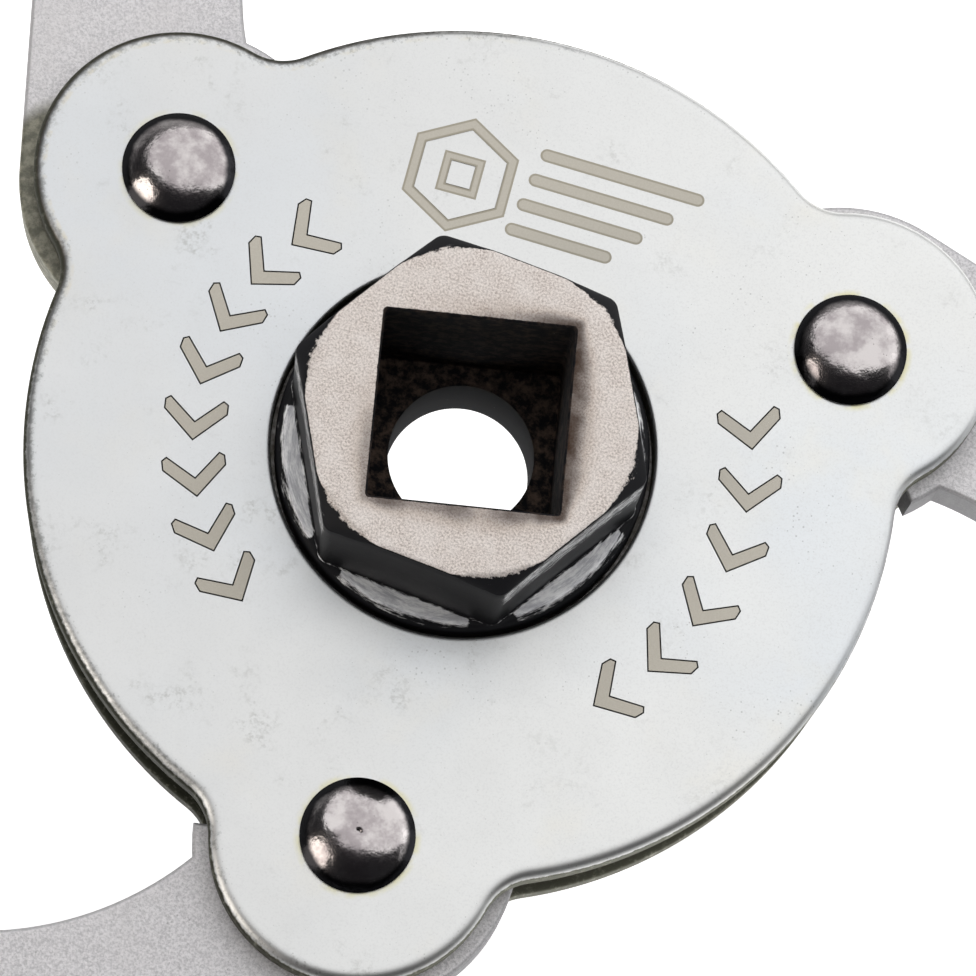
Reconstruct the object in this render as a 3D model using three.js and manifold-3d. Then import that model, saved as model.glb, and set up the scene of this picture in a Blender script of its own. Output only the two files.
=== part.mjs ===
// Geared three-leg oil filter wrench. A square drive turns a hub and its sun gear between two riveted
// plates; the gear swings three toothed legs about their rivets, so their jaws close on a filter can.
// Millimetres, +Z up. The origin is the middle of the drive socket's mouth, on the hub's top face.
import * as THREE from "three";
import { mergeVertices } from "three/addons/utils/BufferGeometryUtils.js";
import Module from "manifold-3d";

// ---- Layout ----
const LEG_COUNT = 3;
const FIRST_PIVOT_DEG = 30; // direction of the first rivet from the drive axis
const PIVOT_RADIUS = 28; // drive axis to each rivet

// ---- Plates ----
const PLATE_RADIUS = 30.3;
const PLATE_THICKNESS = 2.5;
const PLATE_LOBE_RADIUS = 10.1; // round ear about each rivet
const PLATE_LOBE_FILLET = 4; // hollow corner between ear and disc
const PLATE_EDGE_BREAK = 0.3;

// ---- Gear train ----
const SUN_TEETH = 21;
const LEG_TEETH = 11; // in a full turn, though the arm takes the place of some
const PRESSURE_ANGLE_DEG = 25;
const ADDENDUM = 0.9; // in modules
const DEDENDUM = 1.2; // in modules
const TOOTH_BACKLASH = 0.25; // taken off each tooth's width at the pitch circle
const TOOTH_SECTOR_DEG = [92, 282]; // leg's teeth, counted from straight outwards

// ---- Drive hub ----
const HUB_RISE = 11; // top face above the plate
const HEX_ACROSS_FLATS = 22;
const HEX_TURN_DEG = -6; // direction of the hexagon's first corner
const HEX_CHAMFER_RADIUS = 11.2; // round edge of the top face
const HEX_CHAMFER_SLOPE = 0.55; // drop for each millimetre outwards
const SQUARE_SIDE = 12.9;
const SQUARE_TURN_DEG = 9.5;
const SQUARE_DEPTH = 13.65;
const SQUARE_LIP = 0.5; // chamfer at the socket's mouth
const BORE_RADIUS = 5.1;
const COLLAR_RADIUS = 13;
const COLLAR_PROUD = 0.3; // collar's top above the plate
const COLLAR_ROUND = 0.9;
const SHANK_ACROSS_FLATS = 20; // hexagonal seat of the sun gear
const JOURNAL_RADIUS = 9.6; // turns in the bottom plate

// ---- Rivets and spacer bushes ----
const RIVET_RADIUS = 3;
const RIVET_HEAD_RADIUS = 3.95;
const RIVET_HEAD_HEIGHT = 1.5;
const RIVET_TAIL_HEIGHT = 0.9;
const BUSH_WALL = 1.65;

// ---- Legs ----
const LEG_THICKNESS = 4.5;
const ARM_WIDTH = 14.8;
const ARM_SUN_GAP = 2.85; // radius of the arm's hollow edge, more than the sun gear's tips
const ARM_CENTRE_OFFSET = 2.5; // middle of the arm's arcs, further from the rivet than the drive axis is
const WRAP_TURN_DEG = 72; // turn that would wrap the arm's hollow edge round the sun gear
const HEAD_HEEL_DEG = 12; // plain round of the head between its hollow edge and its first tooth
const ARM_SWEEP_DEG = 90; // arc of the arm, from the rivet to the bend
const BEND_RADIUS = 2.5; // inside of the bend
const JAW_LENGTH = 52; // top of the leg to the jaw's tip
const JAW_TIP_WIDTH = 9;
const JAW_TIP_ROUND = 1.5;
const JAW_TOOTH_PITCH = 2.6;
const JAW_TOOTH_DEPTH = 0.9;
const JAW_TOOTH_COUNT = 13;
const JAW_TOOTH_LEAN = 0.35; // deepest point of a notch, in pitches below its upper crest
const JAW_CREST_SET = 0.15; // crests lie this much inside the plain edge
const JAW_TOOTH_END = 4; // plain edge between the last tooth and the tip

// ---- Clearances ----
const RUNNING_GAP = 0.3; // between pieces that turn on each other
const FIT_GAP = 0.15; // between pieces pressed or riveted together
const SEAT_GAP = 0.1; // under heads and at a bush's ends
const CUT_PAST = 1; // how far a cutting body runs past what it cuts
const JOIN_LAP = 1; // how far joined bodies run into each other

// ---- Facets ----
const ROUND_FACETS = 48;
const SMALL_FACETS = 24;
const DOME_STEPS = 4;
const FLANK_STEPS = 4;
const CORNER_STEPS = 4;
const FILLET_STEPS = 5;
const OUTER_BEND_STEPS = 7;
const HEAD_STEPS = 8;
const HEEL_STEPS = 2;
const ARM_STEPS = 12;
const DISC_STEPS = 16;
const LOBE_STEPS = 20;

// ---- Heights and radii that follow ----
const plateTop = -HUB_RISE;
const topPlateUnder = plateTop - PLATE_THICKNESS;
const legTop = topPlateUnder - RUNNING_GAP;
const legUnder = legTop - LEG_THICKNESS;
const bottomPlateTop = legUnder - RUNNING_GAP;
const plateUnder = bottomPlateTop - PLATE_THICKNESS;
const gearModule = (2 * PIVOT_RADIUS) / (SUN_TEETH + LEG_TEETH);
const sunTipRadius = (SUN_TEETH / 2 + ADDENDUM) * gearModule;
const legHeadRadius = (LEG_TEETH / 2 + ADDENDUM) * gearModule;
const rivetHoleRadius = RIVET_RADIUS + FIT_GAP;
const bushRadius = rivetHoleRadius + BUSH_WALL;
const armInnerRadius = sunTipRadius + ARM_SUN_GAP;
const armOuterRadius = armInnerRadius + ARM_WIDTH;
const armCentreReach = PIVOT_RADIUS + ARM_CENTRE_OFFSET;
const outerBendRadius = BEND_RADIUS + LEG_THICKNESS;
const jawTip = legTop - JAW_LENGTH;

const wasm = await Module();
wasm.setup();

const radians = THREE.MathUtils.degToRad;
const degrees = THREE.MathUtils.radToDeg;
const fullTurn = (angleDeg) => THREE.MathUtils.euclideanModulo(angleDeg, 360);
const polar = (radius, angleDeg) =>
  new THREE.Vector2(radius * Math.cos(radians(angleDeg)), radius * Math.sin(radians(angleDeg)));

/** Turns a closed three.js geometry into a solid that can be cut and joined. */
function solid(geometry) {
  const bare = geometry.clone();
  bare.deleteAttribute("normal");
  bare.deleteAttribute("uv");
  const merged = mergeVertices(bare, 1e-4);
  return new wasm.Manifold(
    new wasm.Mesh({
      numProp: 3,
      vertProperties: merged.attributes.position.array,
      triVerts: new Uint32Array(merged.index.array),
    }),
  );
}

/** Turns a solid back into a three.js geometry with flat faces. */
function geometryOf(made) {
  const { vertProperties, triVerts } = made.getMesh();
  const geometry = new THREE.BufferGeometry();
  geometry.setAttribute("position", new THREE.BufferAttribute(new Float32Array(vertProperties), 3));
  geometry.setIndex(new THREE.BufferAttribute(new Uint32Array(triVerts), 1));
  const flat = geometry.toNonIndexed();
  flat.computeVertexNormals();
  return flat;
}

/** Upright prism on an outline, from one height to another. */
function prism(outline, low, high) {
  const geometry = new THREE.ExtrudeGeometry(new THREE.Shape(outline), {
    depth: high - low,
    bevelEnabled: false,
  });
  geometry.translate(0, 0, low);
  return solid(geometry);
}

/** Turned body about the drive axis; profile points are [radius, height], going up. */
function turned(profile, facets = ROUND_FACETS) {
  const points = profile.map(([radius, height]) => new THREE.Vector2(radius, height));
  const geometry = new THREE.LatheGeometry(points, facets);
  geometry.rotateX(Math.PI / 2);
  return solid(geometry);
}

const cylinder = (radius, low, high, facets = ROUND_FACETS) =>
  turned([[0, low], [radius, low], [radius, high], [0, high]], facets);

/** Points along an arc, both ends included; it goes clockwise when the end is the smaller angle. */
function arc(centre, radius, startDeg, endDeg, steps) {
  return Array.from({ length: steps + 1 }, (_, i) =>
    polar(radius, startDeg + ((endDeg - startDeg) * i) / steps).add(centre),
  );
}

/** Corners of a regular polygon, given across its flats. */
function regularPolygon(corners, acrossFlats, firstCornerDeg) {
  const radius = acrossFlats / 2 / Math.cos(Math.PI / corners);
  return Array.from({ length: corners }, (_, i) => polar(radius, firstCornerDeg + (360 * i) / corners));
}

// ---- Plates ----

/** Disc with an ear about each rivet, each hollow corner filled by an arc that touches both. */
function plateOutline() {
  const reach = PLATE_RADIUS + PLATE_LOBE_FILLET;
  const earReach = PLATE_LOBE_RADIUS + PLATE_LOBE_FILLET;
  const cosine = (reach ** 2 + PIVOT_RADIUS ** 2 - earReach ** 2) / (2 * reach * PIVOT_RADIUS);
  const filletDeg = degrees(Math.acos(cosine));
  const points = [];
  for (let leg = 0; leg < LEG_COUNT; leg++) {
    const middle = FIRST_PIVOT_DEG + (360 * leg) / LEG_COUNT;
    const pivot = polar(PIVOT_RADIUS, middle);
    const before = polar(reach, middle - filletDeg);
    const after = polar(reach, middle + filletDeg);
    const half = fullTurn(degrees(after.clone().sub(pivot).angle()) - middle);
    const intoEar = [middle - filletDeg + 180, middle - half + 180];
    const outOfEar = [middle + half - 180, middle + filletDeg - 180];
    const disc = [middle + filletDeg, middle + 360 / LEG_COUNT - filletDeg];
    points.push(...arc(before, PLATE_LOBE_FILLET, ...intoEar, FILLET_STEPS));
    points.push(...arc(pivot, PLATE_LOBE_RADIUS, middle - half, middle + half, LOBE_STEPS).slice(1, -1));
    points.push(...arc(after, PLATE_LOBE_FILLET, ...outOfEar, FILLET_STEPS));
    points.push(...arc(new THREE.Vector2(), PLATE_RADIUS, ...disc, DISC_STEPS).slice(1, -1));
  }
  return points;
}

/** Stamped plate with a round opening for the hub and a hole for each rivet. */
function plate(low, openingRadius) {
  const shape = new THREE.Shape(plateOutline());
  const opening = arc(new THREE.Vector2(), openingRadius, 0, 360, ROUND_FACETS).slice(0, -1);
  shape.holes.push(new THREE.Path(opening));
  // The bevel lies outside the outline it is given, so it is taken back by the same amount.
  const geometry = new THREE.ExtrudeGeometry(shape, {
    depth: PLATE_THICKNESS - 2 * PLATE_EDGE_BREAK,
    bevelThickness: PLATE_EDGE_BREAK,
    bevelSize: PLATE_EDGE_BREAK,
    bevelOffset: -PLATE_EDGE_BREAK,
    bevelSegments: 1,
  });
  geometry.translate(0, 0, low + PLATE_EDGE_BREAK);
  let made = solid(geometry);
  for (let leg = 0; leg < LEG_COUNT; leg++) {
    const pivot = polar(PIVOT_RADIUS, FIRST_PIVOT_DEG + (360 * leg) / LEG_COUNT);
    const past = low + PLATE_THICKNESS + CUT_PAST;
    const hole = cylinder(rivetHoleRadius, low - CUT_PAST, past, SMALL_FACETS);
    made = made.subtract(hole.translate([pivot.x, pivot.y, 0]));
  }
  return made;
}

// ---- Gears ----

/**
 * Outline of an involute gear. Its first tooth points along firstToothDeg, and a tooth is left out
 * where keep says no, which leaves the root circle there.
 */
function gearOutline(teeth, firstToothDeg, keep = () => true) {
  const pitch = (teeth * gearModule) / 2;
  const base = pitch * Math.cos(radians(PRESSURE_ANGLE_DEG));
  const root = pitch - DEDENDUM * gearModule;
  const tip = pitch + ADDENDUM * gearModule;
  const involute = (radius) => {
    const angle = Math.acos(Math.min(1, base / radius));
    return Math.tan(angle) - angle;
  };
  const pitchHalf = (Math.PI * gearModule) / 4 - TOOTH_BACKLASH / 2;
  const halfDeg = (radius) => degrees(pitchHalf / pitch + involute(pitch) - involute(radius));
  const start = Math.max(base, root);
  const points = [];
  for (let i = 0; i < teeth; i++) {
    const middle = firstToothDeg + (360 * i) / teeth;
    const half = 180 / teeth;
    points.push(polar(root, middle - half));
    if (!keep(middle)) {
      points.push(polar(root, middle - half / 2), polar(root, middle), polar(root, middle + half / 2));
      continue;
    }
    const rise = (step) => start + ((tip - start) * step) / FLANK_STEPS;
    const flank = Array.from({ length: FLANK_STEPS + 1 }, (_, step) => rise(step));
    if (root < start) flank.unshift(root);
    points.push(...flank.map((radius) => polar(radius, middle - halfDeg(radius))));
    points.push(polar(tip, middle));
    points.push(...flank.reverse().map((radius) => polar(radius, middle + halfDeg(radius))));
  }
  return points;
}

/** Sun gear, as thick as the legs, with the hexagonal bore that the hub's shank keys. */
function sunGear() {
  const wheel = prism(gearOutline(SUN_TEETH, FIRST_PIVOT_DEG), legUnder, legTop);
  const bore = regularPolygon(6, SHANK_ACROSS_FLATS + 2 * FIT_GAP, HEX_TURN_DEG);
  return wheel.subtract(prism(bore, legUnder - CUT_PAST, legTop + CUT_PAST));
}

// ---- Hub ----

/** Hexagonal head, collar, keyed shank and journal in one forging, with a square socket through it. */
function driveHub() {
  const collarTop = plateTop + COLLAR_PROUD;
  const collarFoot = legTop + SEAT_GAP;
  const headFoot = collarTop - JOIN_LAP;
  const headCone = turned([
    [0, headFoot],
    [HEX_ACROSS_FLATS, headFoot],
    [HEX_ACROSS_FLATS, -HEX_CHAMFER_SLOPE * (HEX_ACROSS_FLATS - HEX_CHAMFER_RADIUS)],
    [HEX_CHAMFER_RADIUS, 0],
    [0, 0],
  ]);
  const hexagon = regularPolygon(6, HEX_ACROSS_FLATS, HEX_TURN_DEG);
  const head = prism(hexagon, headFoot, 0).intersect(headCone);
  const roundCentre = new THREE.Vector2(COLLAR_RADIUS - COLLAR_ROUND, collarTop - COLLAR_ROUND);
  const rounding = arc(roundCentre, COLLAR_ROUND, 0, 90, FILLET_STEPS);
  const collar = turned([
    [0, collarFoot],
    [COLLAR_RADIUS, collarFoot],
    ...rounding.map((point) => [point.x, point.y]),
    [0, collarTop],
  ]);
  const seat = regularPolygon(6, SHANK_ACROSS_FLATS, HEX_TURN_DEG);
  const shank = prism(seat, legUnder, collarFoot + JOIN_LAP);
  const journal = cylinder(JOURNAL_RADIUS, plateUnder, legUnder + JOIN_LAP);
  const corner = SQUARE_TURN_DEG + 45;
  const socket = prism(regularPolygon(4, SQUARE_SIDE, corner), -SQUARE_DEPTH, CUT_PAST);
  const lipRadius = (SQUARE_SIDE / 2) * Math.SQRT2;
  const lip = new THREE.CylinderGeometry(lipRadius + 2 * SQUARE_LIP, lipRadius, 2 * SQUARE_LIP, 4);
  // A four-sided cylinder stands on Y with a corner on Z; upright, that corner points along -Y.
  lip.rotateX(Math.PI / 2).rotateZ(radians(corner - 90));
  const bore = cylinder(BORE_RADIUS, plateUnder - CUT_PAST, CUT_PAST, SMALL_FACETS);
  return head.add(collar).add(shank).add(journal).subtract(socket).subtract(solid(lip)).subtract(bore);
}

// ---- Legs, each drawn about its own rivet with X pointing away from the drive axis ----

/** The middle of the arm's arcs, and the jaw's two level directions: across its blade, and onwards. */
function jawFrame() {
  const endDeg = WRAP_TURN_DEG - ARM_SWEEP_DEG;
  const centre = polar(armCentreReach, WRAP_TURN_DEG + 180);
  return { centre, endDeg, across: polar(1, endDeg), onwards: polar(1, endDeg - 90) };
}

/** Plan of head, arm and bend. Both edges of the arm are arcs about one centre. */
function legPlan({ centre, endDeg, onwards }) {
  const tangent = Math.acos((armOuterRadius - legHeadRadius) / armCentreReach);
  const tangentDeg = WRAP_TURN_DEG - degrees(tangent);
  const meet =
    (armCentreReach ** 2 + armInnerRadius ** 2 - legHeadRadius ** 2) / (2 * armCentreReach * armInnerRadius);
  const meetDeg = WRAP_TURN_DEG - degrees(Math.acos(meet));
  const outerEdge = arc(centre, armOuterRadius, tangentDeg, endDeg, ARM_STEPS);
  const innerEdge = arc(centre, armInnerRadius, endDeg, meetDeg, ARM_STEPS);
  const heelDeg = degrees(innerEdge[innerEdge.length - 1].angle());
  return [
    new THREE.Vector2(),
    ...arc(new THREE.Vector2(), legHeadRadius, TOOTH_SECTOR_DEG[0], tangentDeg, HEAD_STEPS),
    ...outerEdge.slice(1),
    outerEdge[outerEdge.length - 1].clone().addScaledVector(onwards, outerBendRadius),
    innerEdge[0].clone().addScaledVector(onwards, outerBendRadius),
    ...innerEdge,
    ...arc(new THREE.Vector2(), legHeadRadius, heelDeg, heelDeg - HEAD_HEEL_DEG, HEEL_STEPS).slice(1),
  ];
}

/** Prism on an outline drawn in a level direction and in height, lying along the third direction. */
function levelPrism(outline, level, from, depth) {
  const geometry = new THREE.ExtrudeGeometry(new THREE.Shape(outline), { depth, bevelEnabled: false });
  const xAxis = new THREE.Vector3(level.x, level.y, 0);
  const yAxis = new THREE.Vector3(0, 0, 1);
  const zAxis = new THREE.Vector3().crossVectors(xAxis, yAxis);
  geometry.applyMatrix4(new THREE.Matrix4().makeBasis(xAxis, yAxis, zAxis));
  geometry.translate(from.x, from.y, 0);
  return solid(geometry);
}

/** Two cuts seen from the blade's edge: all that is under the arm, and the outside of the bend. */
function bendCuts({ centre, across, onwards }) {
  const behind = armCentreReach + legHeadRadius + CUT_PAST;
  const bendCentre = new THREE.Vector2(0, legUnder - BEND_RADIUS);
  const underArm = [
    new THREE.Vector2(-behind, jawTip - CUT_PAST),
    new THREE.Vector2(BEND_RADIUS, jawTip - CUT_PAST),
    ...arc(bendCentre, BEND_RADIUS, 0, 90, FILLET_STEPS),
    new THREE.Vector2(-behind, legUnder),
  ];
  const outsideBend = [
    ...arc(bendCentre, outerBendRadius, 90, 0, OUTER_BEND_STEPS),
    new THREE.Vector2(outerBendRadius + CUT_PAST, legUnder - BEND_RADIUS),
    new THREE.Vector2(outerBendRadius + CUT_PAST, legTop + CUT_PAST),
    new THREE.Vector2(0, legTop + CUT_PAST),
  ];
  const reach = armOuterRadius + CUT_PAST;
  const from = centre.clone().addScaledVector(across, reach);
  const cuts = [levelPrism(underArm, onwards, from, 2 * reach)];
  cuts.push(levelPrism(outsideBend, onwards, from, reach));
  return cuts;
}

/** Three cuts seen from the front: the taper, a rounded tip corner, and the saw teeth. */
function bladeCuts({ centre, across, onwards }) {
  const outside = armOuterRadius + CUT_PAST;
  const inside = armInnerRadius - CUT_PAST;
  const low = jawTip - CUT_PAST;
  const shoulder = legUnder - outerBendRadius;
  const tipOuter = armInnerRadius + JAW_TIP_WIDTH;
  const slope = (armOuterRadius - tipOuter) / (shoulder - jawTip);
  // The rounding's circle stands a hair outside the blade, so that it crosses both faces cleanly.
  const inset = JAW_TIP_ROUND - SEAT_GAP / 2;
  const roundZ = jawTip + inset;
  const taper = [
    new THREE.Vector2(outside, shoulder + CUT_PAST / slope),
    ...arc(new THREE.Vector2(tipOuter - inset, roundZ), JAW_TIP_ROUND, 0, -90, CORNER_STEPS),
    new THREE.Vector2(tipOuter - inset, low),
    new THREE.Vector2(outside, low),
  ];
  const corner = [
    new THREE.Vector2(inside, roundZ),
    ...arc(new THREE.Vector2(armInnerRadius + inset, roundZ), JAW_TIP_ROUND, 180, 270, CORNER_STEPS),
    new THREE.Vector2(armInnerRadius + inset, low),
    new THREE.Vector2(inside, low),
  ];
  const crest = armInnerRadius + JAW_CREST_SET;
  const lowestTooth = jawTip + JAW_TOOTH_END;
  const topTooth = lowestTooth + JAW_TOOTH_COUNT * JAW_TOOTH_PITCH;
  const teeth = [new THREE.Vector2(inside, topTooth)];
  for (let tooth = 0; tooth < JAW_TOOTH_COUNT; tooth++) {
    const top = topTooth - tooth * JAW_TOOTH_PITCH;
    teeth.push(new THREE.Vector2(crest, top));
    teeth.push(new THREE.Vector2(crest + JAW_TOOTH_DEPTH, top - JAW_TOOTH_PITCH * JAW_TOOTH_LEAN));
  }
  teeth.push(new THREE.Vector2(crest, lowestTooth));
  teeth.push(new THREE.Vector2(inside, lowestTooth));
  const from = centre.clone().addScaledVector(onwards, -CUT_PAST);
  const depth = outerBendRadius + 2 * CUT_PAST;
  return [taper, corner, teeth].map((cut) => levelPrism(cut, across, from, depth));
}

/** One leg: toothed head on its bush, curved arm, and the arm's end bent down into a jaw. */
function leg() {
  const frame = jawFrame();
  const [sectorStart, sectorEnd] = TOOTH_SECTOR_DEG;
  const isInSector = (angleDeg) => fullTurn(angleDeg - sectorStart) <= sectorEnd - sectorStart;
  // A gap, not a tooth, faces the sun gear.
  const head = prism(gearOutline(LEG_TEETH, 180 - 180 / LEG_TEETH, isInSector), legUnder, legTop);
  let arm = prism(legPlan(frame), jawTip, legTop);
  for (const cut of [...bendCuts(frame), ...bladeCuts(frame)]) arm = arm.subtract(cut);
  const boreRadius = bushRadius + RUNNING_GAP;
  const bore = cylinder(boreRadius, legUnder - CUT_PAST, legTop + CUT_PAST, SMALL_FACETS);
  return head.add(arm).subtract(bore);
}

// ---- Rivets and bushes, about their own axis ----

/** Domed cap of a rivet: profile points from its rim to its crown, which lies on the axis. */
function domeProfile(rimZ, height) {
  const capRadius = (RIVET_HEAD_RADIUS ** 2 + height ** 2) / (2 * Math.abs(height));
  const side = Math.sign(height);
  const centreZ = rimZ + height - side * capRadius;
  const half = degrees(Math.asin(RIVET_HEAD_RADIUS / capRadius));
  const flank = arc(new THREE.Vector2(), capRadius, 90 - half, 90, DOME_STEPS).slice(0, -1);
  return [...flank.map((point) => [point.x, centreZ + side * point.y]), [0, rimZ + height]];
}

/** Domed head, shank through both plates, and the upset tail. */
function rivet() {
  const headSeat = plateTop + SEAT_GAP;
  const tailSeat = plateUnder - SEAT_GAP;
  const head = domeProfile(headSeat, RIVET_HEAD_HEIGHT);
  const tail = domeProfile(tailSeat, -RIVET_TAIL_HEIGHT).reverse();
  return turned([...tail, [RIVET_RADIUS, tailSeat], [RIVET_RADIUS, headSeat], ...head], SMALL_FACETS);
}

/** Spacer that holds the plates apart, so that a leg stays free when its rivet is tight. */
function spacerBush() {
  const low = bottomPlateTop + SEAT_GAP;
  const high = topPlateUnder - SEAT_GAP;
  const bore = cylinder(rivetHoleRadius, low - CUT_PAST, high + CUT_PAST, SMALL_FACETS);
  return cylinder(bushRadius, low, high, SMALL_FACETS).subtract(bore);
}

// ---- Assembly ----

const zincPlate = { color: 0xcfd1cc, roughness: 0.38, metalness: 0.9 };
const blastedSteel = { color: 0xb4b1b6, roughness: 0.62, metalness: 0.8 };
const darkForging = { color: 0x4a4644, roughness: 0.35, metalness: 0.9 };
const blackRivet = { color: 0x1d1e21, roughness: 0.2, metalness: 0.9 };
const bushSteel = { color: 0x8d8b88, roughness: 0.5, metalness: 0.85 };

/** A named mesh with a finish of its own. */
function piece(name, made, finish) {
  const mesh = new THREE.Mesh(geometryOf(made), new THREE.MeshStandardMaterial(finish));
  mesh.name = name;
  return mesh;
}

const wrench = new THREE.Group();
wrench.add(piece("top_plate", plate(topPlateUnder, COLLAR_RADIUS + RUNNING_GAP), zincPlate));
wrench.add(piece("bottom_plate", plate(plateUnder, JOURNAL_RADIUS + RUNNING_GAP), zincPlate));
wrench.add(piece("drive_hub", driveHub(), darkForging));
wrench.add(piece("sun_gear", sunGear(), blastedSteel));

for (let i = 0; i < LEG_COUNT; i++) {
  const direction = FIRST_PIVOT_DEG + (360 * i) / LEG_COUNT;
  const pivot = polar(PIVOT_RADIUS, direction);
  const station = new THREE.Group();
  station.position.set(pivot.x, pivot.y, 0);
  station.rotation.z = radians(direction);
  station.add(piece(`leg_${i + 1}`, leg(), blastedSteel));
  station.add(piece(`pivot_rivet_${i + 1}`, rivet(), blackRivet));
  station.add(piece(`spacer_bush_${i + 1}`, spacerBush(), bushSteel));
  wrench.add(station);
}

export default wrench;
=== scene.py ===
"""Geared three-leg oil filter wrench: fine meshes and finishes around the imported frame."""

import sys
import functools
import logging
import math
from collections.abc import Sequence
from dataclasses import dataclass, field
from enum import Enum

import bmesh
import bpy
import numpy as np
from mathutils import Euler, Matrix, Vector
from mathutils.geometry import tessellate_polygon


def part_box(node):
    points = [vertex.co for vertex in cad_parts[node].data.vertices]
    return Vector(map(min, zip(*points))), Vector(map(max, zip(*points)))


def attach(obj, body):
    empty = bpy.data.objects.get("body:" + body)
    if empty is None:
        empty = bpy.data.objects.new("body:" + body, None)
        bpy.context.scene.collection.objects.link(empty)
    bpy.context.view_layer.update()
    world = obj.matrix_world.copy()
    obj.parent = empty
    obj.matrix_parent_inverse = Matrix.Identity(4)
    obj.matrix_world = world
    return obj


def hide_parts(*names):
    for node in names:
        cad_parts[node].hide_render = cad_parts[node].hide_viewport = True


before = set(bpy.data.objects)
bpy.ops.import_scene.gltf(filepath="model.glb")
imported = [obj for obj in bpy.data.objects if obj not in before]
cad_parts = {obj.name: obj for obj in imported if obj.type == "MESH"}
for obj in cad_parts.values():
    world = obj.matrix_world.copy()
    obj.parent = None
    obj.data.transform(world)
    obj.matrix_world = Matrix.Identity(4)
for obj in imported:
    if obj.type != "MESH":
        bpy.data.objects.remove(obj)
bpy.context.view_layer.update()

log = logging.getLogger("wrench")

MM = 0.001
FULL_TURN = 360.0
LEG_COUNT = 3
FIRST_PIVOT_DEG = 30.0
SMOOTH_LIMIT_DEG = 32.0

# Width of the narrow band beside a rounded edge that keeps the face beyond it flat, in millimetres.
GUARD = 0.12
DEFAULT_STEPS = 5

# Marks on a mesh's points that its finish reads, each from 0 to 1: how near the middle of a rounded edge is,
# how far the surface has turned to a wall, how stained it is, and how far its coat is rubbed off.
# On the rivets the edge mark sets painted shade round the dome; on the plates the stain mark sets painted
# shade between them; on three of the hub's flats the rubbed silver is partly a painted reflection.
MARKS = ("edge", "side", "stain", "wear")

# The same hammer marks on every run, and how far from the axis turned streaks have their nominal length.
HAMMER_SEED = 7
SWIRL_REACH = 12.0

Colour = tuple[float, float, float]
Marks = float | np.ndarray
RimRow = tuple[float, float, float, float]
Step = tuple[float | np.ndarray, float | np.ndarray, dict[str, Marks]]


class Body(Enum):
    """The bodies of the frame that pieces ride on."""

    HOUSING = "housing"
    HUB = "hub"
    LEG_1 = "leg_a"
    LEG_2 = "leg_b"
    LEG_3 = "leg_c"


class Slot(Enum):
    """The record's material slots."""

    PLATE = "zinc_plate"
    HUB = "hub_steel"
    GEAR = "gear_steel"
    LEG = "leg_steel"
    RIVET = "black_rivet"
    BUSH = "bush_steel"


# ---- Plane geometry, in millimetres and degrees ----


def polar(radius: float | np.ndarray, angle: float | np.ndarray) -> np.ndarray:
    """Points at a radius and an angle from the origin, one row each."""
    turn = np.radians(angle)
    return np.stack(np.broadcast_arrays(radius * np.cos(turn), radius * np.sin(turn)), axis=-1)


def arc(centre: Sequence[float], radius: float, start: float, end: float, step: float) -> np.ndarray:
    """Points along an arc, both ends included.

    Args:
        centre: Middle of the arc.
        radius: Its radius.
        start: Angle of its first point.
        end: Angle of its last point, smaller than start when it runs clockwise.
        step: Longest angle between neighbours.

    Returns:
        The points, one row each.
    """
    count = max(2, math.ceil(abs(end - start) / step) + 1)
    return polar(radius, np.linspace(start, end, count)) + np.asarray(centre)


def turned_by(points: np.ndarray, angle: float) -> np.ndarray:
    """Points turned about the origin."""
    cosine, sine = math.cos(math.radians(angle)), math.sin(math.radians(angle))
    return points @ np.array([[cosine, sine], [-sine, cosine]])


def mitres(points: np.ndarray, closed: bool = True) -> np.ndarray:
    """Outward steps that move each side of a counterclockwise outline by one millimetre.

    Args:
        points: The outline's corners.
        closed: Whether the last corner joins the first.

    Returns:
        One step for each corner.
    """
    sides = np.roll(points, -1, axis=0) - points
    normals = np.stack([sides[:, 1], -sides[:, 0]], axis=1)
    normals /= np.linalg.norm(normals, axis=1, keepdims=True)
    before = np.roll(normals, 1, axis=0)
    if not closed:
        before[0] = normals[0]
        normals[-1] = before[-1]
    spread = 1 + np.sum(before * normals, axis=1, keepdims=True)
    return (before + normals) / np.maximum(spread, 0.35)


def rounded_polygon(corners: int, apothem: float, corner_radius: float, angle: np.ndarray) -> np.ndarray:
    """Radius of a regular polygon with rounded corners, seen from its middle.

    Args:
        corners: Number of corners.
        apothem: Middle to the middle of a side.
        corner_radius: Rounding of each corner.
        angle: Directions, counted from one of the corners.

    Returns:
        The radius in each direction.
    """
    half = 180 / corners
    from_corner = np.radians(np.abs((angle + half) % (2 * half) - half))
    from_side = math.radians(half) - from_corner
    flat = apothem / np.cos(from_side)
    reach = (apothem - corner_radius) / math.cos(math.radians(half))
    under = np.maximum(corner_radius**2 - (reach * np.sin(from_corner)) ** 2, 0)
    rounded = reach * np.cos(from_corner) + np.sqrt(under)
    is_flat = apothem * np.tan(from_side) <= (apothem - corner_radius) * math.tan(math.radians(half))
    return np.where(is_flat, flat, rounded)


@dataclass(frozen=True)
class Rim:
    """How an edge is rounded between a wall and a face."""

    inset: float
    drop: float
    steps: int = DEFAULT_STEPS
    guard: float = GUARD

    def rows(self) -> list[RimRow]:
        """Works out the rows of points from the wall to the face.

        Returns:
            How far in and how far down each row is, its edge mark and its side mark.
        """
        made = [(0.0, self.drop + self.guard, 0.0, 1.0)]
        for step in range(self.steps + 1):
            share = step / self.steps
            turn = math.radians(90 * share)
            inset = self.inset * (1 - math.cos(turn))
            drop = self.drop * (1 - math.sin(turn))
            made.append((inset, drop, math.sin(math.pi * (0.15 + 0.7 * share)), 1 - share))
        made.append((self.inset + self.guard, 0.0, 0.0, 0.0))
        return made


# ---- Meshes ----


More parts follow.
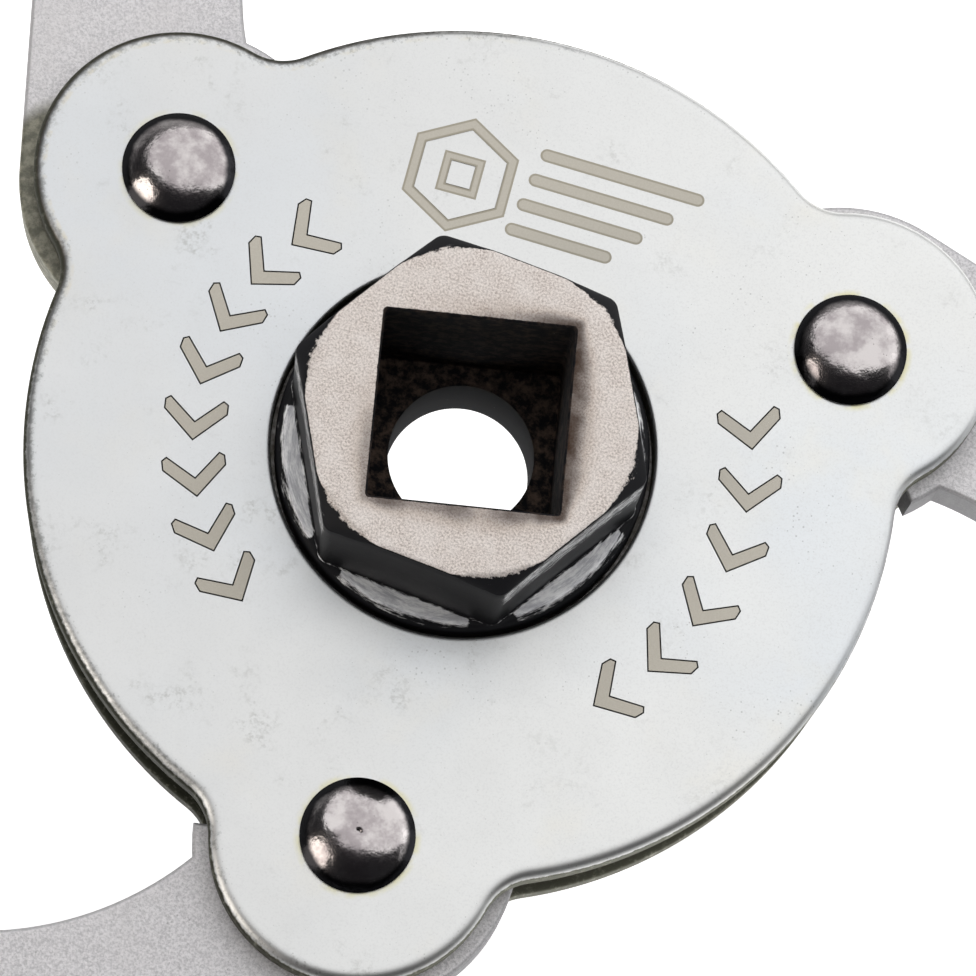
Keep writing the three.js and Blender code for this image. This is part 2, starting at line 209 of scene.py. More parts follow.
@dataclass
class Skin:
    """A closed surface gathered ring by ring, in millimetres, with the marks its finish reads."""

    points: list[np.ndarray] = field(default_factory=list)
    marks: list[np.ndarray] = field(default_factory=list)
    faces: list[tuple[int, ...]] = field(default_factory=list)
    count: int = 0

    def ring(self, places: np.ndarray, **marks: Marks) -> np.ndarray:
        """Adds points.

        Args:
            places: One row of x, y and z for each point.
            **marks: A value, or one value for each point, for any of MARKS.

        Returns:
            The points' numbers.
        """
        values = np.zeros((len(places), len(MARKS)))
        for name, value in marks.items():
            values[:, MARKS.index(name)] = value
        self.points.append(places)
        self.marks.append(values)
        numbers = np.arange(self.count, self.count + len(places))
        self.count += len(places)
        return numbers

    def level(self, outline: np.ndarray, height: float | np.ndarray, **marks: Marks) -> np.ndarray:
        """Adds a ring of plan points at a height; returns their numbers."""
        heights = np.broadcast_to(height, len(outline))
        return self.ring(np.column_stack([outline, heights]), **marks)

    def band(self, first: np.ndarray, second: np.ndarray, closed: bool = True) -> None:
        """Joins two rings of the same length by four-sided faces, or a ring and a single point by a fan.

        Args:
            first: One ring's numbers.
            second: The other's.
            closed: Whether the last point joins the first.
        """
        if len(first) == 1:
            first, second = second, first
        around = len(first) if closed else len(first) - 1
        for i in range(around):
            j = (i + 1) % len(first)
            if len(second) == 1:
                self.faces.append((first[i], first[j], second[0]))
            else:
                self.faces.append((first[i], first[j], second[j], second[i]))

    def bands(self, rings: Sequence[np.ndarray], closed: bool = True) -> None:
        """Joins each ring to the next."""
        for first, second in zip(rings, rings[1:]):
            self.band(first, second, closed)

    def cap(self, *loops: np.ndarray) -> None:
        """Fills a level face inside the first loop and outside the others.

        Args:
            *loops: The outer ring's numbers, then those of its openings.
        """
        points = np.concatenate(self.points)
        flat = [[Vector((*points[n, :2], 0)) for n in loop] for loop in loops]
        numbers = np.concatenate(loops)
        for triangle in tessellate_polygon(flat):
            self.faces.append(tuple(int(numbers[n]) for n in triangle))

    def slab(
        self,
        outline: np.ndarray,
        low: float,
        high: float,
        low_rim: Rim,
        high_rim: Rim,
        openings: Sequence[np.ndarray] = (),
        opening_rim: Rim | None = None,
        gap_shade_marks: tuple[float, float] = (0.0, 0.0),
    ) -> None:
        """Adds an upright plate on an outline, with rounded edges and openings.

        Args:
            outline: Counterclockwise outline.
            low: Height of its under face.
            high: Height of its top face.
            low_rim: Rounding of the outline's lower edge.
            high_rim: Rounding of the outline's upper edge.
            openings: Counterclockwise outlines of the openings.
            opening_rim: Rounding of the openings' edges.
            gap_shade_marks: Stain marks of its under and top faces, which the plates' finish paints as
                shade.
        """
        under, over = [], []
        for shape, inward in [(outline, 1.0), *((o, -1.0) for o in openings)]:
            first = low_rim if inward > 0 else opening_rim or low_rim
            last = high_rim if inward > 0 else opening_rim or high_rim
            rows = [(i, low + d, e, s, gap_shade_marks[0]) for i, d, e, s in reversed(first.rows())]
            rows += [(i, high - d, e, s, gap_shade_marks[1]) for i, d, e, s in last.rows()]
            out = mitres(shape) * inward
            rings = [self.level(shape - out * i, z, edge=e, side=s, stain=t) for i, z, e, s, t in rows]
            self.bands(rings)
            under.append(rings[0])
            over.append(rings[-1])
        self.cap(*under)
        self.cap(*over)

    def turned(self, profile: Sequence[tuple[float, float]], segments: int, closed: bool = False) -> None:
        """Adds a body turned about the origin.

        Args:
            profile: Radius and height of each step.
            segments: Number of steps around.
            closed: Whether the last step joins the first.
        """
        angles = np.arange(segments) * FULL_TURN / segments
        rings = []
        for radius, height in profile:
            outline = polar(radius, angles) if radius > 0 else np.zeros((1, 2))
            rings.append(self.level(outline, height))
        self.bands(rings)
        if closed:
            self.band(rings[-1], rings[0])

    def moved(self, angle: float, shift: Sequence[float]) -> None:
        """Turns all of it about the origin, then moves it in plan."""
        for points in self.points:
            points[:, :2] = turned_by(points[:, :2], angle) + np.asarray(shift)

    def within(self, node: str) -> "Skin":
        """Holds every point inside the box of a node of the frame, so no finer arc stands out of it.

        Args:
            node: The node's name.

        Returns:
            The skin itself.
        """
        low, high = (np.array(corner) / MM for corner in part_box(node))
        for points in self.points:
            np.clip(points, low, high, out=points)
        return self

    def made(self, name: str, finish: bpy.types.Material) -> bpy.types.Object:
        """Makes the mesh object, its faces pointing outwards.

        Args:
            name: The piece's name.
            finish: Its material.

        Returns:
            The new object, at the origin.
        """
        mesh = bpy.data.meshes.new(name)
        mesh.from_pydata((np.concatenate(self.points) * MM).tolist(), [], self.faces)
        values = np.concatenate(self.marks)
        for column, mark in enumerate(MARKS):
            layer = mesh.attributes.new(mark, "FLOAT", "POINT")
            layer.data.foreach_set("value", values[:, column].astype(np.float32))
        shape = bmesh.new()
        shape.from_mesh(mesh)
        bmesh.ops.recalc_face_normals(shape, faces=shape.faces)
        shape.to_mesh(mesh)
        shape.free()
        finish_mesh(mesh, finish)
        piece = bpy.data.objects.new(name, mesh)
        bpy.context.scene.collection.objects.link(piece)
        return piece


def finish_mesh(mesh: bpy.types.Mesh, finish: bpy.types.Material) -> None:
    """Smooths all but the sharp edges, and gives a mesh its one material.

    Args:
        mesh: The mesh.
        finish: Its material.
    """
    mesh.polygons.foreach_set("use_smooth", [True] * len(mesh.polygons))
    mesh.set_sharp_from_angle(angle=math.radians(SMOOTH_LIMIT_DEG))
    mesh.materials.clear()
    mesh.materials.append(finish)


def settle(piece: bpy.types.Object, body: Body, slot: Slot, *nodes: str) -> None:
    """Puts a finished piece on its body, in place of its nodes.

    Args:
        piece: The finished piece.
        body: The body that carries it.
        slot: Its material slot; not used.
        *nodes: The nodes that it stands for.
    """
    if nodes:
        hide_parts(*nodes)
    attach(piece, body.value)
    log.info("%s rides on %s, %d faces", piece.name, body.value, len(piece.data.polygons))


# ---- Nodes ----


@dataclass(frozen=True)
class Value:
    """A number that varies over a surface: a socket with arithmetic on it."""

    maker: "NodeMaker"
    socket: bpy.types.NodeSocket

    def math(self, operation: str, *values: "Value | float") -> "Value":
        """The result of a Math node on these values."""
        node = self.maker.add("ShaderNodeMath", {"operation": operation}, dict(enumerate(values)))
        return Value(self.maker, node.outputs[0])

    def __add__(self, other: "Value | float") -> "Value":
        """self + other."""
        return self.math("ADD", self, other)

    def __radd__(self, other: float) -> "Value":
        """other + self."""
        return self.math("ADD", other, self)

    def __sub__(self, other: "Value | float") -> "Value":
        """self - other."""
        return self.math("SUBTRACT", self, other)

    def __rsub__(self, other: float) -> "Value":
        """other - self."""
        return self.math("SUBTRACT", other, self)

    def __mul__(self, other: "Value | float") -> "Value":
        """self * other."""
        return self.math("MULTIPLY", self, other)

    def __rmul__(self, other: float) -> "Value":
        """other * self."""
        return self.math("MULTIPLY", other, self)

    def __truediv__(self, other: "Value | float") -> "Value":
        """self / other."""
        return self.math("DIVIDE", self, other)

    def __rtruediv__(self, other: float) -> "Value":
        """other / self."""
        return self.math("DIVIDE", other, self)

    def least(self, other: "Value | float") -> "Value":
        """The smaller of self and other."""
        return self.math("MINIMUM", self, other)

    def most(self, other: "Value | float") -> "Value":
        """The larger of self and other."""
        return self.math("MAXIMUM", self, other)

    def step(self, low: float, high: float) -> "Value":
        """0 below low, 1 above high and a smooth rise between; high below low turns it round.

        Args:
            low: Where it leaves 0.
            high: Where it reaches 1.

        Returns:
            The value, from 0 to 1.
        """
        settings = {"interpolation_type": "SMOOTHSTEP"}
        if low < high:
            inputs = {"Value": self, "From Min": low, "From Max": high, "To Min": 0.0, "To Max": 1.0}
        else:
            inputs = {"Value": self, "From Min": high, "From Max": low, "To Min": 1.0, "To Max": 0.0}
        node = self.maker.add("ShaderNodeMapRange", settings, inputs)
        return Value(self.maker, node.outputs["Result"])


@dataclass
class NodeMaker:
    """Adds nodes to one tree."""

    tree: bpy.types.NodeTree

    def add(self, kind: str, settings: dict | None = None, inputs: dict | None = None) -> bpy.types.Node:
        """Makes any node.

        Args:
            kind: The node's type.
            settings: Its properties, set first.
            inputs: Values, links or Values of its sockets, by name or number.

        Returns:
            The new node.
        """
        node = self.tree.nodes.new(kind)
        for name, value in (settings or {}).items():
            setattr(node, name, value)
        for key, value in (inputs or {}).items():
            source = value.socket if isinstance(value, Value) else value
            if isinstance(source, bpy.types.NodeSocket):
                self.tree.links.new(source, node.inputs[key])
            else:
                node.inputs[key].default_value = source
        return node


class Surface(NodeMaker):
    """The nodes of one material, which all read the piece's own coordinates and marks."""

    def __init__(self, name: str) -> None:
        """Starts an empty material of that name.

        Args:
            name: The material's name.
        """
        self.material = bpy.data.materials.new(name)
        self.material.use_nodes = True
        super().__init__(self.material.node_tree)
        self.tree.nodes.clear()
        self.place = self.add("ShaderNodeTexCoord").outputs["Object"]

    def mark(self, name: str) -> Value:
        """One of the mesh's marks."""
        node = self.add("ShaderNodeAttribute", {"attribute_name": name})
        return Value(self, node.outputs["Fac"])

    def noise(
        self,
        size: float,
        detail: float = 2.0,
        roughness: float = 0.5,
        stretch: tuple[float, float, float] | None = None,
    ) -> Value:
        """Soft noise with features of a size in millimetres, from 0 to 1.

        Args:
            size: Size of the largest features.
            detail: Number of finer layers.
            roughness: Strength of the finer layers.
            stretch: Scale along x, y and z, where it isn't even.

        Returns:
            The noise.
        """
        where = self.place
        if stretch:
            where = self.add("ShaderNodeMapping", None, {"Vector": where, "Scale": stretch}).outputs[0]
        inputs = {"Vector": where, "Scale": 1 / (size * MM), "Detail": detail, "Roughness": roughness}
        return Value(self, self.add("ShaderNodeTexNoise", None, inputs).outputs["Fac"])

    def swirl(self, size: float, stretch: float) -> Value:
        """Soft noise drawn out round the drive axis, from 0 to 1.

        Args:
            size: Size across the streaks, in millimetres.
            stretch: How many times longer they are than wide, SWIRL_REACH out.

        Returns:
            The noise.
        """
        x, y = self.coordinate(0), self.coordinate(1)
        reach = (x * x + y * y).math("SQRT", x * x + y * y)
        turn = x.math("ARCTAN2", x, y * -1.0) * (SWIRL_REACH / stretch)
        where = self.add("ShaderNodeCombineXYZ", None, {0: reach, 1: turn, 2: self.coordinate(2)}).outputs[0]
        inputs = {"Vector": where, "Scale": 1 / size, "Detail": 4.0, "Roughness": 0.75}
        return Value(self, self.add("ShaderNodeTexNoise", None, inputs).outputs["Fac"])

    def specks(self, size: float) -> Value:
        """Distance to scattered points, in cells of a size in millimetres."""
        node = self.add("ShaderNodeTexVoronoi", None, {"Vector": self.place, "Scale": 1 / (size * MM)})
        return Value(self, node.outputs["Distance"])

    def distance(self, point: Sequence[float]) -> Value:
        """Plan distance to a point, in millimetres.

        Args:
            point: The point, in plan.

        Returns:
            The distance.
        """
        inputs = {"Vector": self.place, "Location": (-point[0] * MM, -point[1] * MM, 0)}
        shifted = self.add("ShaderNodeMapping", None, inputs).outputs[0]
        inputs = {0: shifted, 1: (1 / MM, 1 / MM, 0)}
        flat = self.add("ShaderNodeVectorMath", {"operation": "MULTIPLY"}, inputs).outputs[0]
        reach = self.add("ShaderNodeVectorMath", {"operation": "LENGTH"}, {0: flat})
        return Value(self, reach.outputs["Value"])

    def coordinate(self, axis: int) -> Value:
        """One of the place's coordinates, in millimetres."""
        node = self.add("ShaderNodeSeparateXYZ", None, {0: self.place})
        return Value(self, node.outputs[axis]) * (1 / MM)

    def mix(
        self, share: Value, first: Colour | bpy.types.NodeSocket, second: Colour | bpy.types.NodeSocket
    ) -> bpy.types.NodeSocket:
        """A colour between two colours.

        Args:
            share: 0 gives the first, 1 the second.
            first: A colour or a link.
            second: A colour or a link.

        Returns:
            The mixed colour's socket.
        """
        colours = [(*c, 1.0) if isinstance(c, tuple) else c for c in (first, second)]
        inputs = {0: share, 6: colours[0], 7: colours[1]}
        return self.add("ShaderNodeMix", {"data_type": "RGBA"}, inputs).outputs[2]

    def bump(
        self, height: Value, depth: float, under: bpy.types.NodeSocket | None = None
    ) -> bpy.types.NodeSocket:
        """The normal of a rough skin.

        Args:
            height: The skin's height, from 0 to 1.
            depth: What its full range stands for, in millimetres.
            under: Normal of a coarser skin below it.

        Returns:
            The normal's socket.
        """
        inputs = {"Strength": 1.0, "Distance": depth * MM, "Height": height}
        if under:
            inputs["Normal"] = under
        return self.add("ShaderNodeBump", None, inputs).outputs[0]

    def finished(self, **inputs: object) -> bpy.types.Material:
        """Ends the material in a Principled shader.

        Args:
            **inputs: Its sockets, with _ for spaces.

        Returns:
            The material.
        """
        named = {name.replace("_", " "): value for name, value in inputs.items()}
        shader = self.add("ShaderNodeBsdfPrincipled", None, named)
        self.add("ShaderNodeOutputMaterial", None, {"Surface": shader.outputs[0]})
        return self.material


# ---- Finishes ----


@dataclass(frozen=True)
class ZincFinish:
    """Bright zinc on stamped plate: satin, faintly tinted, with specks, smudges and a few scratches.

    The plates are duller and more smudged towards their left side, and their walls and the faces between
    them are painted olive shade, darkest on that side.
    """

    pivots: tuple[tuple[float, float], ...]
    head_radius: float
    plate_gap: tuple[float, float]
    # Plan span, right to left, over which the plates turn duller and more smudged and their painted shade
    # grows.
    leftward_span: tuple[float, float] = (28.0, -32.0)
    # Plan span, front to back, over which the rims' painted highlight and painted dark reflection fade in.
    painted_reflection_rise: tuple[float, float] = (-4.0, 6.0)
    light: Colour = (0.76, 0.765, 0.755)
    blue: Colour = (0.71, 0.75, 0.79)
    straw: Colour = (0.79, 0.765, 0.69)
    halo: Colour = (0.70, 0.66, 0.38)
    speck: Colour = (0.26, 0.26, 0.25)
    satin: Colour = (0.60, 0.60, 0.60)
    dull: Colour = (0.59, 0.595, 0.60)
    smudge: Colour = (0.36, 0.36, 0.34)
    rolled: Colour = (0.30, 0.31, 0.31)
    # Colour of the painted highlight along the inner edge of the upper left rims.
    tan: Colour = (0.66, 0.60, 0.46)
    # Colour of the painted dark reflection on the outer edge of the upper left rims.
    painted_reflection: Colour = (0.085, 0.075, 0.06)
    # Colours of the painted shade on the walls and on the faces between the plates.
    olive: Colour = (0.045, 0.046, 0.032)
    khaki: Colour = (0.17, 0.17, 0.13)
    # Colour of the wall streaks, painted light that grows towards the right.
    pale_wall: Colour = (0.46, 0.46, 0.38)

    def material(self) -> bpy.types.Material:
        """The finish as a material.

        Returns:
            The material.
        """
        s = Surface("bright_zinc")
        leftward = s.coordinate(0).step(*self.leftward_span)
        edge = s.mark("edge") * (leftward * 0.85 + 0.15)
        side = s.mark("side")
        grain = s.noise(0.16, 3, 0.65)
        crowd = s.noise(7, 3, 0.6).step(0.48, 0.72) * 0.12 + edge * 0.25
        dust = (s.specks(0.42) - crowd - s.noise(0.3, 1) * 0.2).step(-0.02, -0.1)
        colour = self.face(s, leftward, grain, dust)
        colour = self.rim(s, colour, leftward, edge, side)
        # Painted shade: the walls and the faces between the plates, which carry the stain mark, reaching
        # further up the walls towards the left.
        left_wall_shade = leftward * (s.coordinate(2).step(self.plate_gap[1], self.plate_gap[0]) * 0.3 + 0.3)
        wall = (side + left_wall_shade + (s.noise(0.4, 3, 0.6) - 0.5) * 0.3).step(0.75, 0.92).most(s.mark("stain"))
        colour = s.mix(wall, colour, self.wall(s, leftward, side))
        scratch = s.noise(0.9, 1, 0.4, (0.5, 22, 1)).step(0.76, 0.8) * s.noise(9, 1).step(0.55, 0.62)
        height = grain * 0.35 + s.noise(0.9, 2) * 0.5 - scratch * 0.8 - dust * 0.5
        return s.finished(
            Base_Color=colour,
            Roughness=s.noise(6, 4, 0.6) * 0.14 + 0.27 + grain * 0.06 + wall * 0.3,
            # Less metal on the painted-shade walls keeps them dark, most of all on the left.
            Metallic=1.0 - wall * (leftward * 0.6 + 0.2),
            Normal=s.bump(height, 0.004, s.bump(s.noise(9, 1), 0.03)),
            Specular_IOR_Level=0.2,
        )

    def face(self, s: Surface, leftward: Value, grain: Value, dust: Value) -> bpy.types.NodeSocket:
        """Colour of the open faces.

        Args:
            s: The material's nodes.
            leftward: How far towards the plate's left side it lies.
            grain: Its fine grain.
            dust: Its specks.

        Returns:
            The colour's socket.
        """
        colour = s.mix(s.noise(26, 3).step(0.42, 0.68) * 0.75, self.light, self.blue)
        colour = s.mix(s.noise(11, 4, 0.6).step(0.52, 0.74) * 0.55, colour, self.straw)
        near = functools.reduce(Value.least, (s.distance(pivot) for pivot in self.pivots))
        ring = near.step(self.head_radius + 0.55, self.head_radius + 0.05)
        colour = s.mix(ring * s.noise(1.3, 2).step(0.35, 0.6) * 0.8, colour, self.halo)
        colour = s.mix(dust * 0.45, colour, self.speck)
        colour = s.mix(grain.step(0.45, 0.75) * 0.4, colour, self.satin)
        # Duller and darker towards the left.
        colour = s.mix(leftward * 0.55, colour, self.dull)
        smudge = s.noise(5, 4, 0.7).step(0.53, 0.72) * s.noise(0.35, 2, 0.6).step(0.42, 0.7)
        return s.mix(smudge * (leftward * 0.35 + 0.25), colour, self.smudge)

    def rim(
        self, s: Surface, colour: bpy.types.NodeSocket, leftward: Value, edge: Value, side: Value
    ) -> bpy.types.NodeSocket:
        """Colour of the rolled rims, ragged all round, with a painted highlight and a painted dark
        reflection towards the back left.

        Args:
            s: The material's nodes.
            colour: Colour of the open faces.
            leftward: How far towards the plate's left side it lies.
            edge: How near the middle of a rounded edge is.
            side: How far the surface has turned to a wall.

        Returns:
            The colour's socket.
        """
        ragged = (edge + (s.noise(0.45, 3, 0.75) - 0.5) * 2.2).step(0.6, 1.15)
        colour = s.mix(ragged * 0.75, colour, self.rolled)
        # Where the rims get painted light: towards the back and the left.
        painted_reflection = s.coordinate(1).step(*self.painted_reflection_rise) * leftward
        # Noise that breaks up the painted highlight and the painted dark band below.
        rubbed = s.noise(1.6, 4, 0.7)
        # Painted highlight: a broken tan band on the inner side of the upper left rims.
        inner = edge.step(0.3, 0.6) * side.step(0.35, 0.1) * rubbed.step(0.42, 0.68)
        colour = s.mix(painted_reflection * inner * 0.6, colour, self.tan)
        # Painted dark reflection: a dark band on the outer edge of those rims.
        outer = (edge + (rubbed - 0.5) * 0.6).step(0.5, 0.8) * side.step(0.3, 0.55)
        return s.mix(painted_reflection * outer, colour, self.painted_reflection)

    def wall(self, s: Surface, leftward: Value, side: Value) -> bpy.types.NodeSocket:
        """Colour of the walls and of the faces between the plates: painted olive shade with streaks of
        metal.

        Args:
            s: The material's nodes.
            leftward: How far towards the plate's left side it lies.
            side: How far the surface has turned to a wall.

        Returns:
            The colour's socket.
        """
        hidden = s.mark("stain") * side.step(0.4, 0.0)
        streak = s.noise(0.5, 3, 0.7, (1, 1, 0.3)).step(0.5, 0.78)
        # Painted light: the streaks are lighter towards the right, where the floor's light falls, and
        # fainter between the plates.
        bright = streak * (1.0 - hidden * 0.3) * (0.9 - leftward * 0.65)
        # Painted shade: olive on the left, khaki towards the right.
        wall_shade_colour = s.mix(leftward.step(0.7, 0.2), self.olive, self.khaki)
        return s.mix(bright, wall_shade_colour, self.pale_wall)


@dataclass(frozen=True)
class EtchedFinish:
    """Laser etching: dull tan grey, darker where the beam turned at each stroke's border."""

    fill: Colour = (0.60, 0.565, 0.49)
    pale: Colour = (0.72, 0.69, 0.62)
    border: Colour = (0.25, 0.215, 0.13)

    def material(self) -> bpy.types.Material:
        """The finish as a material.

        Returns:
            The material.
        """
        s = Surface("etched_marks")
        border = s.mark("edge").step(0.15, 0.75)
        grain = s.noise(0.12, 3, 0.7)
        colour = s.mix(grain.step(0.3, 0.75) * 0.5, self.fill, self.pale)
        return s.finished(
            Base_Color=s.mix(border * 0.9, colour, self.border),
            Roughness=grain * 0.2 + 0.5,
            Metallic=border * -0.3 + 0.55,
            Normal=s.bump(grain, 0.006),
        )


@dataclass(frozen=True)
class LegFinish:
    """Blasted steel: matt grey with a breath of violet, fine grain, darker along its edges.

    One head, about the pivot, has painted olive shade on the side that points away from its arm.
    """

    pivot: tuple[float, float]
    # Plan point that the painted shade on that head is centred on.
    shaded_side: tuple[float, float]
    head_reach: tuple[float, float] = (12.2, 11.4)
    shade_patch_reach: tuple[float, float] = (9.2, 7.6)
    light: Colour = (0.88, 0.865, 0.88)
    deep: Colour = (0.56, 0.55, 0.565)
    warm: Colour = (0.80, 0.78, 0.78)
    pit: Colour = (0.3, 0.29, 0.3)
    rubbed: Colour = (0.22, 0.22, 0.23)
    # Colours of the painted shade on the walls.
    dark: Colour = (0.07, 0.07, 0.075)
    wall: Colour = (0.24, 0.24, 0.25)
    # Colours of the painted olive shade on that head.
    olive: Colour = (0.13, 0.13, 0.09)
    pale_shade: Colour = (0.36, 0.35, 0.27)

    def material(self) -> bpy.types.Material:
        """The finish as a material.

        Returns:
            The material.
        """
        s = Surface("blasted_steel")
        grain = s.noise(0.19, 3, 0.75)
        cloud = s.noise(8, 3, 0.6)
        colour = s.mix(grain.step(0.3, 0.66), self.deep, self.light)
        colour = s.mix(cloud.step(0.4, 0.75) * 0.4, colour, self.warm)
        pits = (s.specks(0.6) - s.noise(3, 2) * 0.2).step(0.0, -0.05)
        colour = s.mix(pits * 0.5, colour, self.pit)
        edge = (s.mark("edge") + (grain - 0.5) * 0.6).step(0.5, 1.0)
        colour = s.mix(edge * 0.35, colour, self.rubbed)
        # Painted shade: the walls are painted dark, with streaks.
        wall = s.mark("side").step(0.5, 0.9)
        streaked = s.mix(s.noise(0.6, 3, 0.6, (1, 1, 0.2)), self.dark, self.wall)
        colour = s.mix(wall * 0.7, colour, streaked)
        # Painted shade: olive on one head, on the side away from its arm.
        head_shade = s.distance(self.pivot).step(*self.head_reach)
        head_shade = head_shade * s.distance(self.shaded_side).step(*self.shade_patch_reach)
        shade_colour = s.mix(s.noise(0.8, 4, 0.7).step(0.35, 0.68), self.olive, self.pale_shade)
        return s.finished(
            Base_Color=s.mix(head_shade * 0.9, colour, shade_colour),
            Roughness=grain * 0.18 + 0.47 + cloud * 0.1,
            Metallic=0.85 - wall * 0.2,
            Normal=s.bump(grain + s.noise(0.6, 2) * 0.6, 0.03),
        )


@dataclass(frozen=True)
class HubFinish:
    """Black forging whose ground top face shows bare, warm steel; its socket stays sooty."""

    bare: Colour = (0.86, 0.795, 0.75)
    pale: Colour = (0.90, 0.86, 0.83)
    grit: Colour = (0.42, 0.36, 0.33)
    black: Colour = (0.010, 0.010, 0.012)
    scorched: Colour = (0.30, 0.20, 0.125)
    rust: Colour = (0.045, 0.022, 0.012)
    brown: Colour = (0.15, 0.105, 0.08)
    # Colours of the bare steel where the blacking is rubbed off; on three flats partly a painted reflection.
    silver: Colour = (0.60, 0.60, 0.63)
    bright: Colour = (1.0, 1.0, 1.0)
    socket_reach: tuple[float, float] = (9.8, 9.0)

    def material(self) -> bpy.types.Material:
        """The finish as a material.

        Returns:
            The material.
        """
        s = Surface("forged_hub")
        fine = s.noise(0.15, 3, 0.75)
        colour = s.mix(fine.step(0.3, 0.64), self.grit, self.bare)
        colour = s.mix(s.noise(1.6, 3).step(0.35, 0.7) * 0.3, colour, self.pale)
        ragged = s.noise(0.5, 4, 0.75)
        soot = s.mark("stain")
        patch = s.noise(3.4, 2).step(0.35, 0.6)
        stain = (soot * (patch * 0.25 + 0.8) + (ragged - 0.5) * 0.2 * soot.step(0.0, 0.3)).step(0.08, 1.1)
        colour = s.mix(stain, colour, s.mix(stain.step(0.15, 0.6), self.scorched, self.rust))
        side = s.mark("side")
        covered = (side + (ragged - 0.5) * 0.9).step(0.40, 0.54)
        rusty = soot * s.noise(0.9, 4, 0.7).step(0.4, 0.7)
        colour = s.mix(covered, colour, s.mix(rusty, self.black, self.brown))
        streak = s.swirl(0.28, 6)
        # Rubbed silver: bare steel on the collar and the journal; on three flats partly a painted
        # reflection.
        wear = (s.mark("wear") + (streak - 0.5) * 1.8).step(0.3, 0.75)
        colour = s.mix(wear * 0.95, colour, s.mix(streak.step(0.35, 0.65), self.silver, self.bright))
        bare = (1.0 - covered).most(wear)
        socket = s.distance((0.0, 0.0)).step(*self.socket_reach) * side.step(0.5, 0.8)
        return s.finished(
            Base_Color=colour,
            Roughness=(bare * 0.06 + 0.42 + fine * 0.1).most(socket * 0.95),
            Metallic=bare * 0.85 + 0.05,
            Normal=s.bump(fine * bare + s.noise(1.2, 2) * 0.5, 0.024),
            Specular_IOR_Level=0.16,
        )


@dataclass(frozen=True)
class RivetFinish:
    """Blackened rivet, hammered smooth: a glossy dome with an uneven skin and painted shade round its rim.
    """

    crown: Colour = (0.60, 0.565, 0.56)
    brown: Colour = (0.30, 0.265, 0.275)
    # Colour of the painted shade round the dome's rim.
    painted_rim_shade: Colour = (0.03, 0.03, 0.033)
    dot: Colour = (0.03, 0.025, 0.02)

    def material(self) -> bpy.types.Material:
        """The finish as a material.

        Returns:
            The material.
        """
        s = Surface("black_rivet")
        patch = s.noise(2.2, 4, 0.65)
        fine = s.noise(0.25, 3, 0.6)
        colour = s.mix(patch.step(0.36, 0.62) * 0.8, self.crown, self.brown)
        # Painted shade: the dome turns dark towards its rim, broken up by the skin's patches.
        painted_rim_shade = (s.mark("edge") + (patch - 0.5) * 0.8).step(0.15, 0.85)
        colour = s.mix(painted_rim_shade, colour, self.painted_rim_shade)
        dots = s.specks(0.5).step(0.12, 0.02) * s.noise(1.5, 1).step(0.5, 0.6)
        return s.finished(
            Base_Color=s.mix(dots * 0.7, colour, self.dot),
            Roughness=patch.step(0.3, 0.8) * 0.08 + 0.11 + fine * 0.05,
            Metallic=1.0 - dots * 0.2,
            Normal=s.bump(fine, 0.003, s.bump(patch, 0.05)),
        )


@dataclass(frozen=True)
class MachinedFinish:
    """Plain machined steel, oiled, with turning marks: the gear and the bushes."""

    name: str
    light: Colour = (0.45, 0.44, 0.43)
    dark: Colour = (0.13, 0.12, 0.11)
    oil: Colour = (0.10, 0.085, 0.06)
    edge: Colour = (0.62, 0.62, 0.62)

    def material(self) -> bpy.types.Material:
        """The finish as a material.

        Returns:
            The material.
        """
        s = Surface(self.name)
        lines = s.noise(0.5, 3, 0.6, (1, 1, 14))
        oil = s.noise(4, 3, 0.6)
        colour = s.mix(lines.step(0.3, 0.7), self.dark, self.light)
        colour = s.mix(oil.step(0.45, 0.7) * 0.6, colour, self.oil)
        return s.finished(
            Base_Color=s.mix(s.mark("edge") * 0.5, colour, self.edge),
            Roughness=oil * 0.2 + 0.3,
            Metallic=0.95 - oil * 0.1,
            Normal=s.bump(lines, 0.01),
        )


# ---- Rules for what repeats ----


